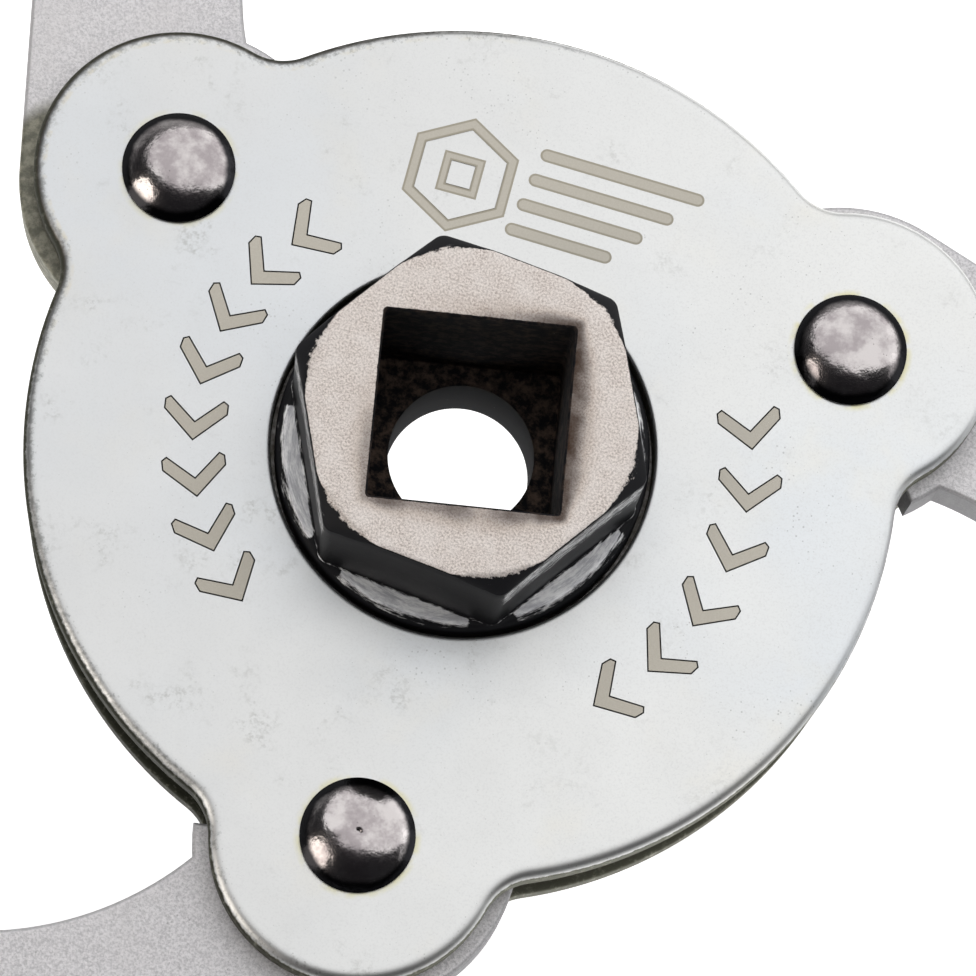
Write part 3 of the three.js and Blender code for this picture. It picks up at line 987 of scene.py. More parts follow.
class Rule(NodeMaker):
    """A Geometry Nodes tree with named inputs, which ends in real geometry with its material."""

    def __init__(self, name: str, inputs: dict[str, str]) -> None:
        """Starts a tree.

        Args:
            name: The tree's name.
            inputs: Socket type of each named input.
        """
        super().__init__(bpy.data.node_groups.new(name, "GeometryNodeTree"))
        face = self.tree.interface
        face.new_socket("Geometry", in_out="INPUT", socket_type="NodeSocketGeometry")
        self.identifiers = {}
        for key, kind in {**inputs, "Material": "NodeSocketMaterial"}.items():
            self.identifiers[key] = face.new_socket(key, in_out="INPUT", socket_type=kind).identifier
        face.new_socket("Geometry", in_out="OUTPUT", socket_type="NodeSocketGeometry")
        self.start = self.add("NodeGroupInput").outputs

    def value(self, name: str) -> Value:
        """One of the named inputs, for arithmetic."""
        return Value(self, self.start[name])

    def end(self, geometry: bpy.types.NodeSocket) -> "Rule":
        """Ends the tree in Realize Instances and Set Material.

        Args:
            geometry: What the tree has made.

        Returns:
            The rule itself.
        """
        real = self.add("GeometryNodeRealizeInstances", None, {0: geometry}).outputs[0]
        inputs = {"Geometry": real, "Material": self.start["Material"]}
        dressed = self.add("GeometryNodeSetMaterial", None, inputs).outputs[0]
        self.add("NodeGroupOutput", None, {0: dressed})
        return self

    def applied(self, piece: bpy.types.Object, finish: bpy.types.Material, **values: float) -> None:
        """Runs the tree on a piece and keeps the result as its plain mesh.

        Args:
            piece: The piece whose mesh goes in.
            finish: The material of the result.
            **values: The named inputs, with _ for spaces.
        """
        modifier = piece.modifiers.new(self.tree.name, "NODES")
        modifier.node_group = self.tree
        modifier[self.identifiers["Material"]] = finish
        for name, value in values.items():
            modifier[self.identifiers[name.replace("_", " ")]] = value
        seen = piece.evaluated_get(bpy.context.evaluated_depsgraph_get())
        made = bpy.data.meshes.new_from_object(seen)
        piece.modifiers.clear()
        made.name = piece.name
        finish_mesh(made, finish)
        piece.data = made


def copies_round_axis() -> Rule:
    """A rule that repeats what it is given round the drive axis, and welds what touches.

    Returns:
        The rule.
    """
    sizes = {"Copies": "NodeSocketInt", "Step": "NodeSocketFloat", "Weld": "NodeSocketFloat"}
    rule = Rule("copies_round_axis", sizes)
    points = rule.add("GeometryNodePoints", None, {"Count": rule.start["Copies"]}).outputs[0]
    index = Value(rule, rule.add("GeometryNodeInputIndex").outputs[0])
    turn = rule.add("ShaderNodeCombineXYZ", None, {"Z": index * rule.value("Step")}).outputs[0]
    inputs = {"Points": points, "Instance": rule.start["Geometry"], "Rotation": turn}
    placed = rule.add("GeometryNodeInstanceOnPoints", None, inputs).outputs[0]
    real = rule.add("GeometryNodeRealizeInstances", None, {0: placed}).outputs[0]
    inputs = {"Geometry": real, "Distance": rule.start["Weld"]}
    return rule.end(rule.add("GeometryNodeMergeByDistance", None, inputs).outputs[0])


def polygon_bore() -> Rule:
    """A rule that stretches the marked points of a round bore out to a regular polygon.

    Returns:
        The rule.
    """
    rule = Rule("polygon_bore", {"Sides": "NodeSocketInt", "First Corner": "NodeSocketFloat"})
    place = rule.add("GeometryNodeInputPosition").outputs[0]
    parts = rule.add("ShaderNodeSeparateXYZ", None, {0: place}).outputs
    x, y, z = (Value(rule, part) for part in parts)
    sector = 2 * math.pi / rule.value("Sides")
    turn = x.math("ARCTAN2", y, x) - rule.value("First Corner")
    from_side = turn.math("FLOORED_MODULO", turn, sector) - sector * 0.5
    stretch = 1.0 / from_side.math("COSINE", from_side)
    bore = rule.add("GeometryNodeInputNamedAttribute", {"data_type": "FLOAT"}, {"Name": "wear"}).outputs[0]
    scale = Value(rule, bore) * (stretch - 1.0) + 1.0
    moved = rule.add("ShaderNodeCombineXYZ", None, {"X": x * scale, "Y": y * scale, "Z": z}).outputs[0]
    inputs = {"Geometry": rule.start["Geometry"], "Position": moved}
    return rule.end(rule.add("GeometryNodeSetPosition", None, inputs).outputs[0])


# ---- Sub-assemblies ----


@dataclass
class Heights:
    """Levels of the stack, read from the frame, in millimetres."""

    plate_top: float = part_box("top_plate")[1].z / MM
    top_plate_under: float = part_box("top_plate")[0].z / MM
    leg_top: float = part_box("leg_1")[1].z / MM
    leg_under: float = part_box("sun_gear")[0].z / MM
    bottom_plate_top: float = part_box("bottom_plate")[1].z / MM
    plate_under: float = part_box("bottom_plate")[0].z / MM
    jaw_tip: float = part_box("leg_1")[0].z / MM
    rivet_crown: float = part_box("pivot_rivet_1")[1].z / MM
    rivet_tail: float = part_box("pivot_rivet_1")[0].z / MM


HEIGHTS = Heights()
LEG_THICKNESS = HEIGHTS.leg_top - HEIGHTS.leg_under
PIVOT_RADIUS = math.hypot(*(sum((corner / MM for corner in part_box("pivot_rivet_1")), Vector()) / 2).xy)
RIVET_HEAD_RADIUS = (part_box("pivot_rivet_3")[1].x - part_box("pivot_rivet_3")[0].x) / MM / 2

# Gearing: a tooth's height above and depth below the pitch circle are in modules.
SUN_TEETH = 21
LEG_TEETH = 11
GEAR_MODULE = 2 * PIVOT_RADIUS / (SUN_TEETH + LEG_TEETH)
PRESSURE_ANGLE = 25.0
ADDENDUM = 0.9
DEDENDUM = 1.2
TOOTH_PLAY = 0.125
WELD = 2e-6

# Where the painted olive shade on a leg's head is: its leg, and its middle's distance and direction
# from that leg's rivet.
SHADED_LEG = 1
SHADE_MIDDLE_REACH = 7.0
SHADE_MIDDLE_TURN = 67.0


def pivot(leg: int) -> np.ndarray:
    """Plan place of a leg's rivet."""
    return polar(PIVOT_RADIUS, direction(leg))


def pair(point: np.ndarray) -> tuple[float, float]:
    """A plan point as plain numbers."""
    return float(point[0]), float(point[1])


def direction(leg: int) -> float:
    """Direction of a leg's rivet from the drive axis, in degrees."""
    return FIRST_PIVOT_DEG + FULL_TURN * leg / LEG_COUNT


@dataclass
class Housing:
    """The two stamped plates, and the rivets and bushes that hold them together and apart."""

    disc_radius: float = 30.3
    lobe_radius: float = 10.1
    lobe_fillet: float = 4.0
    arc_step: float = 1.5
    rivet_radius: float = 3.0
    rivet_hole: float = 3.15
    rivet_seat: float = 0.02
    cap_rim: float = 0.22
    hammer_depth: float = 0.035
    dimple: tuple[float, float] = (0.42, 0.16)
    # Shares of the head's radius over which painted shade darkens the dome towards its rim.
    painted_rim_shade_span: tuple[float, float] = (0.76, 0.92)
    bush_wall: float = 1.65
    bush_gap: float = 0.1
    bush_chamfer: float = 0.2
    groove_depth: float = 0.25
    groove_half: float = 0.6
    hub_opening: float = 13.3
    journal_opening: float = 9.9
    rolled_rim: Rim = Rim(0.95, 0.6, 9)
    sharp_rim: Rim = Rim(0.22, 0.22, 3)
    tail_rim: Rim = Rim(0.6, 0.45, 6)

    def outline(self) -> np.ndarray:
        """Disc with an ear about each rivet, and a hollow arc in each corner between them.

        Returns:
            The points, counterclockwise, one row each.
        """
        reach = self.disc_radius + self.lobe_fillet
        ear_reach = self.lobe_radius + self.lobe_fillet
        cosine = (reach**2 + PIVOT_RADIUS**2 - ear_reach**2) / (2 * reach * PIVOT_RADIUS)
        fillet = math.degrees(math.acos(cosine))
        hollow = polar(reach, fillet) - (PIVOT_RADIUS, 0)
        half = math.degrees(math.atan2(hollow[1], hollow[0]))
        parts = []
        step = self.arc_step
        for leg in range(LEG_COUNT):
            middle = direction(leg)
            first, last = middle - fillet, middle + fillet
            corner = self.lobe_fillet
            parts.append(arc(polar(reach, first), corner, first + 180, middle - half + 180, 3 * step)[:-1])
            parts.append(arc(pivot(leg), self.lobe_radius, middle - half, middle + half, 2 * step)[:-1])
            parts.append(arc(polar(reach, last), corner, middle + half - 180, last - 180, 3 * step)[:-1])
            end = first + FULL_TURN / LEG_COUNT
            parts.append(arc((0, 0), self.disc_radius, last, end, step)[:-1])
        return np.concatenate(parts)

    def plate(
        self, node: str, low_rim: Rim, high_rim: Rim, opening: float, gap_shade_marks: tuple[float, float]
    ) -> Skin:
        """One stamped plate.

        Args:
            node: The plate's node, which gives its heights.
            low_rim: Its lower edge.
            high_rim: Its upper edge.
            opening: Radius of the opening in its middle.
            gap_shade_marks: Stain marks of its under and top faces, which the zinc finish paints as shade.

        Returns:
            Its surface.
        """
        low, high = (corner.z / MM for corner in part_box(node))
        holes = [arc((0, 0), opening, 0, FULL_TURN, 2)[:-1]]
        holes += [arc(pivot(leg), self.rivet_hole, 0, FULL_TURN, 10)[:-1] for leg in range(LEG_COUNT)]
        skin = Skin()
        skin.slab(self.outline(), low, high, low_rim, high_rim, holes, self.sharp_rim, gap_shade_marks)
        return skin.within(node)

    def rivet(self, leg: int) -> Skin:
        """One rivet: a hammered dome, its shank and its flatter tail. The last one has a dimple.

        Args:
            leg: The leg that it holds, counted from 0.

        Returns:
            Its surface.
        """
        h = HEIGHTS
        under, over = h.plate_under - self.rivet_seat, h.plate_top + self.rivet_seat
        profile = [(0.0, h.rivet_tail)]
        profile += self.cap_profile(under, h.rivet_tail)[::-1]
        profile += [(self.rivet_radius, under), (self.rivet_radius, over)]
        profile += self.cap_profile(over, h.rivet_crown)
        profile += [(0.0, h.rivet_crown)]
        skin = Skin()
        skin.turned(profile, 72)
        wobble = np.random.default_rng(HAMMER_SEED + leg)
        lobes = wobble.uniform(0, FULL_TURN, 4)
        rim_shade_start, rim_shade_end = self.painted_rim_shade_span
        for points, marks in zip(skin.points, skin.marks):
            radius = np.hypot(points[:, 0], points[:, 1])
            turn = np.degrees(np.arctan2(points[:, 1], points[:, 0]))
            uneven = sum(np.cos(np.radians((n + 2) * turn + lobe)) / (n + 2) for n, lobe in enumerate(lobes))
            share = radius / RIVET_HEAD_RADIUS
            is_head = points[:, 2] > h.plate_top
            points[:, 2] -= self.hammer_depth * uneven * share * (1 - share) * 4 * is_head
            if leg == LEG_COUNT - 1:
                reach, depth = self.dimple
                hollow = np.maximum(0, 1 - (radius / reach) ** 2) ** 2
                points[:, 2] -= depth * hollow * (points[:, 2] > h.plate_top)
            # On the rivets the edge mark says where the finish paints shade round the dome's rim.
            painted_rim_shade = (share - rim_shade_start) / (rim_shade_end - rim_shade_start)
            marks[:, MARKS.index("edge")] = np.clip(painted_rim_shade, 0, 1)
        skin.moved(direction(leg), pivot(leg))
        return skin

    def cap_profile(self, seat: float, crown: float) -> list[tuple[float, float]]:
        """Steps along a domed cap.

        Args:
            seat: Height of the face that it sits on.
            crown: Height of its crown.

        Returns:
            Radius and height of each step, from its seat to just short of its crown.
        """
        height, rim = abs(crown - seat), self.cap_rim
        cap = (RIVET_HEAD_RADIUS**2 + (height - rim) ** 2) / (2 * (height - rim))
        toward = math.copysign(1, crown - seat)
        half = math.degrees(math.asin(RIVET_HEAD_RADIUS / cap))
        made = [(RIVET_HEAD_RADIUS - 0.3, seat), (RIVET_HEAD_RADIUS - 0.1, seat + toward * 0.05)]
        made.append((RIVET_HEAD_RADIUS - 0.02, seat + toward * 0.12))
        for turn in np.linspace(half, 0, 25)[:-1]:
            rise = cap * (math.cos(math.radians(turn)) - math.cos(math.radians(half)))
            made.append((cap * math.sin(math.radians(turn)), seat + toward * (rim + rise)))
        return made

    def bush(self, leg: int) -> Skin:
        """One spacer bush, its edges chamfered, with a groove for grease round its middle.

        Args:
            leg: The leg that turns on it, counted from 0.

        Returns:
            Its surface.
        """
        inner, outer = self.rivet_hole, self.rivet_hole + self.bush_wall
        low, high = HEIGHTS.bottom_plate_top + self.bush_gap, HEIGHTS.top_plate_under - self.bush_gap
        middle = (low + high) / 2
        cut = self.bush_chamfer
        deep, half = outer - self.groove_depth, self.groove_half
        profile = [(inner, low + cut), (inner + cut, low), (outer - cut, low), (outer, low + cut)]
        profile += [(outer, middle - half), (deep, middle - half / 2), (deep, middle + half / 2)]
        profile += [(outer, middle + half), (outer, high - cut), (outer - cut, high)]
        profile += [(inner + cut, high), (inner, high - cut)]
        skin = Skin()
        skin.turned(profile, 64, closed=True)
        skin.moved(direction(leg), pivot(leg))
        return skin

    def build(self) -> None:
        """Builds and dresses every piece of the housing."""
        pivots = tuple(pair(pivot(leg)) for leg in range(LEG_COUNT))
        plate_gap = (HEIGHTS.bottom_plate_top, HEIGHTS.top_plate_under)
        zinc = ZincFinish(pivots, RIVET_HEAD_RADIUS, plate_gap).material()
        # The faces that meet between the plates carry the stain mark, which the zinc finish paints as shade.
        top = self.plate("top_plate", self.sharp_rim, self.rolled_rim, self.hub_opening, (1, 0))
        settle(top.made("stamped_top_plate", zinc), Body.HOUSING, Slot.PLATE, "top_plate")
        bottom = self.plate("bottom_plate", self.tail_rim, self.sharp_rim, self.journal_opening, (0, 1))
        settle(bottom.made("stamped_bottom_plate", zinc), Body.HOUSING, Slot.PLATE, "bottom_plate")
        black = RivetFinish().material()
        steel = MachinedFinish("turned_bush").material()
        for leg in range(LEG_COUNT):
            node = f"pivot_rivet_{leg + 1}"
            rivet = self.rivet(leg).within(node).made(f"domed_rivet_{leg + 1}", black)
            settle(rivet, Body.HOUSING, Slot.RIVET, node)
            node = f"spacer_bush_{leg + 1}"
            bush = self.bush(leg).within(node).made(f"turned_bush_{leg + 1}", steel)
            settle(bush, Body.HOUSING, Slot.BUSH, node)


@dataclass(frozen=True)
class ArrowRow:
    """A row of arrowheads round the plate: radius, first angle, count, step and way round."""

    radius: float
    first: float
    copies: int
    step: float
    way: int


@dataclass
class EtchedMarks:
    """Plain signs etched in the top plate: turning arrows, and a hexagon with its square drive."""

    stroke: float = 0.78
    proud: float = 0.006
    sunk: float = 0.05
    rim: Rim = Rim(0.12, 0.004, 1, 0.1)
    sunk_rim: Rim = Rim(0.01, 0.01, 1, 0.005)
    chevron_height: float = 4.0
    chevron_depth: float = 1.9
    left_arrows: ArrowRow = ArrowRow(18.6, 139.5, 8, 12.3, 1)
    right_arrows: ArrowRow = ArrowRow(20.0, -44.0, 6, 12.8, -1)
    sign_middle: tuple[float, float] = (-5.2, 18.9)
    sign_across: float = 7.4
    bar_start: tuple[float, float] = (0.3, 21.9)
    bar_shift: tuple[float, float] = (-0.35, -1.95)
    bar_reaches: tuple[tuple[float, float], ...] = (
        (11.0, -0.27), (9.6, -0.24), (8.2, -0.21), (6.8, -0.18),
    )
    bar_width: float = 0.95

    def bar(self, skin: Skin, start: np.ndarray, end: np.ndarray) -> None:
        """Adds a straight bar with rounded ends.

        Args:
            skin: Takes the surface.
            start: Middle of the bar's first end.
            end: Middle of its last end.
        """
        along = math.degrees(math.atan2(*(end - start)[::-1]))
        half = self.bar_width / 2
        ends = [arc(start, half, along + 90, along + 270, 18), arc(end, half, along - 90, along + 90, 18)]
        self.raised(skin, np.concatenate(ends))

    def raised(self, skin: Skin, outline: np.ndarray, openings: Sequence[np.ndarray] = ()) -> None:
        """Adds one stroke of an outline on the plate."""
        low, high = HEIGHTS.plate_top - self.sunk, HEIGHTS.plate_top + self.proud
        skin.slab(outline, low, high, self.sunk_rim, self.rim, openings, self.rim)

    def chevron(self, row: ArrowRow) -> Skin:
        """The first arrowhead of a row.

        Args:
            row: The row, whose way is 1 for counterclockwise and -1 for clockwise.

        Returns:
            Its surface.
        """
        half, depth, wide = self.chevron_height / 2, self.chevron_depth, self.stroke * 0.8
        low, high = row.radius - half, row.radius + half
        back, front = -depth / 2, -depth / 2 + wide * 0.8
        outline = np.array([
            (low, back), (low + 0.15, back - 0.1), (row.radius, depth / 2 - 0.35), (high - 0.15, back - 0.1),
            (high, back), (high, front), (row.radius, depth / 2 + wide * 0.75), (low, front),
        ])
        if row.way < 0:
            outline = (outline * (1, -1))[::-1]
        skin = Skin()
        self.raised(skin, turned_by(outline, row.first)[::-1])
        return skin

    def drive_sign(self) -> Skin:
        """A hexagon round a square, with bars of falling length beside it.

        Returns:
            Its surface.
        """
        skin = Skin()
        frames = [
            (30 + 60.0 * np.arange(6), self.sign_across / 2, self.stroke, 30),
            (45 + 90.0 * np.arange(4), self.sign_across * 0.2, self.stroke * 0.8, 45),
        ]
        for corners, half, stroke, slope in frames:
            to_corner = 1 / math.cos(math.radians(slope))
            outer = polar(half * to_corner, corners) + self.sign_middle
            inner = polar((half - stroke) * to_corner, corners) + self.sign_middle
            self.raised(skin, outer, [inner])
        for row, reach in enumerate(self.bar_reaches):
            start = np.array(self.bar_start) + row * np.array(self.bar_shift)
            self.bar(skin, start, start + reach)
        return skin

    def build(self) -> None:
        """Builds and dresses the marks."""
        etched = EtchedFinish().material()
        rule = copies_round_axis()
        for side, row in (("left", self.left_arrows), ("right", self.right_arrows)):
            piece = self.chevron(row).made(f"etched_arrows_{side}", etched)
            rule.applied(piece, etched, Copies=row.copies, Step=math.radians(row.step), Weld=0.0)
            settle(piece, Body.HOUSING, Slot.PLATE)
        settle(self.drive_sign().made("etched_drive_sign", etched), Body.HOUSING, Slot.PLATE)


@dataclass
class DriveHub:
    """The forged hub with its hexagon, collar and square socket, and the gear keyed on its shank."""

    hex_flat: float = 22.0
    hex_corner: float = 0.9
    hex_turn: float = -6.0
    chamfer_radius: float = 11.2
    chamfer_slope: float = 0.55
    square_side: float = 12.9
    square_corner: float = 0.3
    square_turn: float = 54.5
    square_depth: float = 13.65
    lip: float = 0.14
    bore: float = 5.1
    collar_radius: float = 13.0
    collar_proud: float = 0.3
    collar_round: float = 0.75
    shank_flat: float = 20.0
    journal: float = 9.6
    fit_gap: float = 0.15
    # Flats rubbed bare and how far: wear set where the side lamps reflect, so partly a painted reflection.
    worn_and_sheened_flats: tuple[tuple[int, float], ...] = ((5, 0.68), (3, 0.6), (1, 0.4))
    sooty_side: float = 5.0
    soot_fade: tuple[tuple[float, float], ...] = ((0.08, 0.95), (0.2, 0.72), (0.36, 0.4), (0.62, 0.0))
    flat_wear_and_sheen: tuple[tuple[float, float], ...] = ((0.1, 0.9), (0.35, 0.75), (0.5, 0.25), (0.62, 0.0))

    def directions(self) -> np.ndarray:
        """Angles around the hub, closer together near every corner.

        Returns:
            The angles, in degrees.
        """
        fine = [np.arange(0, FULL_TURN, 1.0)]
        corners = [self.hex_turn + 60 * n for n in range(6)] + [self.square_turn + 90 * n for n in range(4)]
        fine += [corner + np.arange(-3.0, 3.01, 0.3) for corner in corners]
        return np.unique(np.round(np.concatenate(fine) % FULL_TURN, 3))

    def rubbed(self, turn: np.ndarray) -> np.ndarray:
        """How far the blacking of the flats is rubbed off by spanners, in each direction.

        On these flats the bare silver is partly a painted reflection.

        Args:
            turn: The directions.

        Returns:
            Wear marks, one for each direction.
        """
        worn = np.zeros(len(turn))
        for flat, share in self.worn_and_sheened_flats:
            away = np.abs((turn - self.hex_turn - 30 - 60 * flat + 180) % FULL_TURN - 180)
            worn = np.maximum(worn, share * np.clip((30 - away) / 2, 0, 1))
        return worn

    def hub(self) -> Skin:
        """The hub's surface, from the foot of its bore up the socket, over the top and down outside.

        Returns:
            Its surface.
        """
        skin = Skin()
        turn = self.directions()
        hexagon = rounded_polygon(6, self.hex_flat / 2, self.hex_corner, turn - self.hex_turn)
        steps = self.socket(turn) + self.top(turn, hexagon)
        steps += self.outside(turn, hexagon) + self.shank(turn)
        rings = []
        for radius, height, marks in steps:
            rings.append(skin.level(polar(radius * np.ones(len(turn)), turn), height, **marks))
        skin.bands([*rings, rings[0]])
        return skin

    def square(self, half: float, turn: np.ndarray) -> np.ndarray:
        """Radius of the socket in each direction, at a half width."""
        return rounded_polygon(4, half, self.square_corner, turn - self.square_turn)

    def socket(self, turn: np.ndarray) -> list[Step]:
        """Steps up the bore, across the ledge and up the square socket to its lip.

        Args:
            turn: The directions.

        Returns:
            Radius, height and marks of each step.
        """
        foot = HEIGHTS.plate_under
        half, lip, ledge = self.square_side / 2, self.lip, -self.square_depth
        wall = self.square(half, turn)
        return [
            (self.bore + 0.4, foot, {"side": 1}),
            (self.bore + 0.1, foot + 0.1, {"side": 1}),
            (self.bore, foot + 0.4, {"side": 1}),
            (self.bore, ledge - 0.5, {"side": 1}),
            (self.bore, ledge - 0.15, {"side": 1, "stain": 0.4}),
            (self.bore + 0.15, ledge, {"side": 1, "stain": 0.9}),
            (self.bore + 0.4, ledge, {"side": 1, "stain": 0.9}),
            (wall - 0.35, ledge, {"side": 1, "stain": 0.9}),
            (wall - 0.12, ledge, {"side": 1, "stain": 0.9}),
            (wall, ledge + 0.12, {"side": 1, "stain": 0.6}),
            (wall, ledge + 0.45, {"side": 1, "stain": 0.5}),
            (wall, -lip - 0.5, {"side": 1, "stain": 0.3}),
            (wall, -lip, {"side": 1, "stain": 0.3}),
            (self.square(half + lip * 0.3, turn), -lip * 0.6, {"side": 1, "stain": 0.3}),
            (self.square(half + lip * 0.75, turn), -lip * 0.12, {"side": 0.9, "stain": 0.3}),
        ]

    def top(self, turn: np.ndarray, hexagon: np.ndarray) -> list[Step]:
        """Steps across the ground top face and down its chamfer, sootiest beside the socket.

        Args:
            turn: The directions.
            hexagon: Radius of the hexagon in each of them.

        Returns:
            Radius, height and marks of each step.
        """
        level = np.cos(np.radians(turn - self.sooty_side))
        lower = np.cos(np.radians(turn - self.sooty_side + 115))
        sooty = 0.12 + 0.88 * np.maximum(0.5 + 0.5 * level, 0.75 * lower)
        lip = self.square(self.square_side / 2 + self.lip, turn)
        inner = self.square(self.square_side / 2 + self.lip + GUARD, turn)
        edge = np.minimum(hexagon - 0.12, self.chamfer_radius)
        cone = -self.chamfer_slope * np.maximum(hexagon - self.chamfer_radius, 0)
        steps = [(lip, 0, {"side": 0.45, "stain": sooty}), (inner, 0, {"stain": sooty})]
        for share, stain in self.soot_fade:
            steps.append((inner + (edge - inner) * share, 0, {"stain": stain * sooty}))
        steps += [(edge - 0.3, 0, {}), (edge, -0.01, {"side": 0.3})]
        steps.append((edge + (hexagon - edge) * 0.35, cone * 0.35 - 0.03, {"side": 0.62}))
        steps.append((edge + (hexagon - edge) * 0.8, cone * 0.8 - 0.06, {"side": 0.9}))
        steps.append((hexagon - 0.03, cone - 0.14, {"side": 1}))
        return steps

    def outside(self, turn: np.ndarray, hexagon: np.ndarray) -> list[Step]:
        """Steps down the flats, rubbed and partly painted as reflection, through the fillet
        and over the collar's worn shoulders.

        Args:
            turn: The directions.
            hexagon: Radius of the hexagon in each of them.

        Returns:
            Radius, height and marks of each step.
        """
        rubbed = self.rubbed(turn)
        cone = -self.chamfer_slope * np.maximum(hexagon - self.chamfer_radius, 0)
        collar_top = HEIGHTS.plate_top + self.collar_proud
        first, last = cone - 0.34, collar_top + 1
        steps = [(hexagon, first, {"side": 1, "wear": rubbed * 0.6})]
        # Rubbed silver down the flats, partly a painted reflection, fading away towards the collar.
        for share, worn in self.flat_wear_and_sheen:
            steps.append((hexagon, first * (1 - share) + last * share, {"side": 1, "wear": rubbed * worn}))
        fillet = np.clip(self.collar_radius - self.collar_round - hexagon, 0.12, 0.18)
        steps.append((hexagon, collar_top + fillet + 0.5, {"side": 1}))
        for share in np.linspace(0, 1, 5):
            inward, rise = 1 - math.cos(math.pi / 2 * share), 1 - math.sin(math.pi / 2 * share)
            marks = {"side": 1, "wear": 0.5 * share}
            steps.append((hexagon + fillet * inward, collar_top + fillet * rise, marks))
        foot = hexagon + fillet
        start = np.maximum(self.collar_radius - self.collar_round, foot + 0.1)
        flat = np.clip((start - foot - 0.1) / 0.1, 0, 1)
        for share in (0.1, 0.9):
            steps.append((foot + (start - foot) * share, collar_top, {"side": 1, "wear": 1.1 * flat}))
        for share in np.linspace(0, 1, 7):
            outward, drop = math.sin(math.pi / 2 * share), 1 - math.cos(math.pi / 2 * share)
            radius = start + (self.collar_radius - start) * outward
            worn = flat * (1 - share) ** 2.5
            steps.append((radius, collar_top - self.collar_round * drop, {"side": 1, "wear": worn}))
        return steps

    def shank(self, turn: np.ndarray) -> list[Step]:
        """Steps under the collar, down the hexagonal shank and the journal to the bore's foot.

        Args:
            turn: The directions.

        Returns:
            Radius, height and marks of each step.
        """
        h = HEIGHTS
        shank = rounded_polygon(6, self.shank_flat / 2, 0.5, turn - self.hex_turn)
        under = h.leg_top + 0.1
        return [
            (self.collar_radius, under + 0.25, {"side": 1}),
            (self.collar_radius - 0.2, under, {"side": 1}),
            (shank + 0.1, under, {"side": 1}),
            (shank, under - 0.1, {"side": 1}),
            (shank, h.leg_under + 0.2, {"side": 1}),
            (shank - 0.15, h.leg_under, {"side": 1}),
            (self.journal + 0.1, h.leg_under, {"side": 1}),
            (self.journal, h.leg_under - 0.1, {"side": 0.8, "wear": 0.5}),
            (self.journal, h.plate_under + 0.45, {"side": 0.8, "wear": 0.6}),
            (self.journal - 0.13, h.plate_under + 0.13, {"side": 0.8, "wear": 0.8}),
            (self.journal - 0.45, h.plate_under, {"side": 0.6, "wear": 0.7}),
            (self.journal - 0.8, h.plate_under, {"side": 0.5, "wear": 0.6}),
            (self.bore + 0.8, h.plate_under, {"side": 0.5, "wear": 0.5}),
        ]

    def tooth_sector(self) -> Skin:
        """One tooth of the sun gear with its share of the web, open where the next one joins.

        Returns:
            Its surface.
        """
        h = HEIGHTS
        outline, period = gear_outline(SUN_TEETH, FIRST_PIVOT_DEG)
        out = mitres(outline)
        outline, out = outline[: period + 1], out[: period + 1]
        bearing = np.degrees(np.arctan2(outline[:, 1], outline[:, 0]))
        rim = Rim(0.22, 0.22, 3)
        low = [(i, h.leg_under + d, e, s) for i, d, e, s in reversed(rim.rows())]
        high = [(i, h.leg_top - d, e, s) for i, d, e, s in rim.rows()]
        skin = Skin()
        rings = [skin.level(outline - out * i, z, edge=e, side=s) for i, z, e, s in low + high]
        bore = self.shank_flat / 2 + self.fit_gap
        inner = [(bore + 0.9, h.leg_top, 0), (bore + 0.2, h.leg_top, 1), (bore, h.leg_top - 0.2, 1)]
        inner += [(bore, h.leg_under + 0.2, 1), (bore + 0.2, h.leg_under, 1), (bore + 0.9, h.leg_under, 0)]
        for radius, z, is_bore in inner:
            rings.append(skin.level(polar(radius, bearing), z, wear=is_bore))
        skin.bands([*rings, rings[0]], closed=False)
        return skin

    def build(self) -> None:
        """Builds and dresses the hub and the gear."""
        forged = HubFinish().material()
        hub = self.hub().within("drive_hub").made("forged_drive_hub", forged)
        settle(hub, Body.HUB, Slot.HUB, "drive_hub")
        steel = MachinedFinish("cut_gear").material()
        gear = self.tooth_sector().made("cut_sun_gear", steel)
        step = math.radians(FULL_TURN / SUN_TEETH)
        copies_round_axis().applied(gear, steel, Copies=SUN_TEETH, Step=step, Weld=WELD)
        polygon_bore().applied(gear, steel, Sides=6, First_Corner=math.radians(self.hex_turn))
        settle(gear, Body.HUB, Slot.GEAR, "sun_gear")


def gear_outline(teeth: int, first_tooth: float) -> tuple[np.ndarray, int]:
    """Outline of an involute gear.

    Args:
        teeth: Number of teeth.
        first_tooth: Direction of the first tooth.

    Returns:
        The points, counterclockwise from the root before the first tooth, and the number for each tooth.
    """
    pitch = teeth * GEAR_MODULE / 2
    base = pitch * math.cos(math.radians(PRESSURE_ANGLE))
    root, tip = pitch - DEDENDUM * GEAR_MODULE, pitch + ADDENDUM * GEAR_MODULE

    def involute(radius: np.ndarray | float) -> np.ndarray | float:
        """Turn of the involute at a radius, in radians."""
        angle = np.arccos(np.minimum(1, base / radius))
        return np.tan(angle) - angle

    thickness = math.pi * GEAR_MODULE / 4 - TOOTH_PLAY
    radii = np.linspace(max(base, root), tip, 7)
    halves = np.degrees(thickness / pitch + involute(pitch) - involute(radii))
    if root < base:
        radii, halves = np.insert(radii, 0, root), np.insert(halves, 0, halves[0])
    points = []
    for tooth in range(teeth):
        middle = first_tooth + FULL_TURN * tooth / teeth
        half = 180 / teeth
        points.append(polar(root, np.array([middle - half, middle - half + (half - halves[0]) / 2])))
        points.append(polar(radii, middle - halves))
        points.append(polar(tip, np.linspace(middle - halves[-1], middle + halves[-1], 5)[1:-1]))
        points.append(polar(radii[::-1], middle + halves[::-1]))
        points.append(polar(root, np.array([middle + half - (half - halves[0]) / 2])))
    made = np.concatenate(points)
    return made, len(made) // teeth


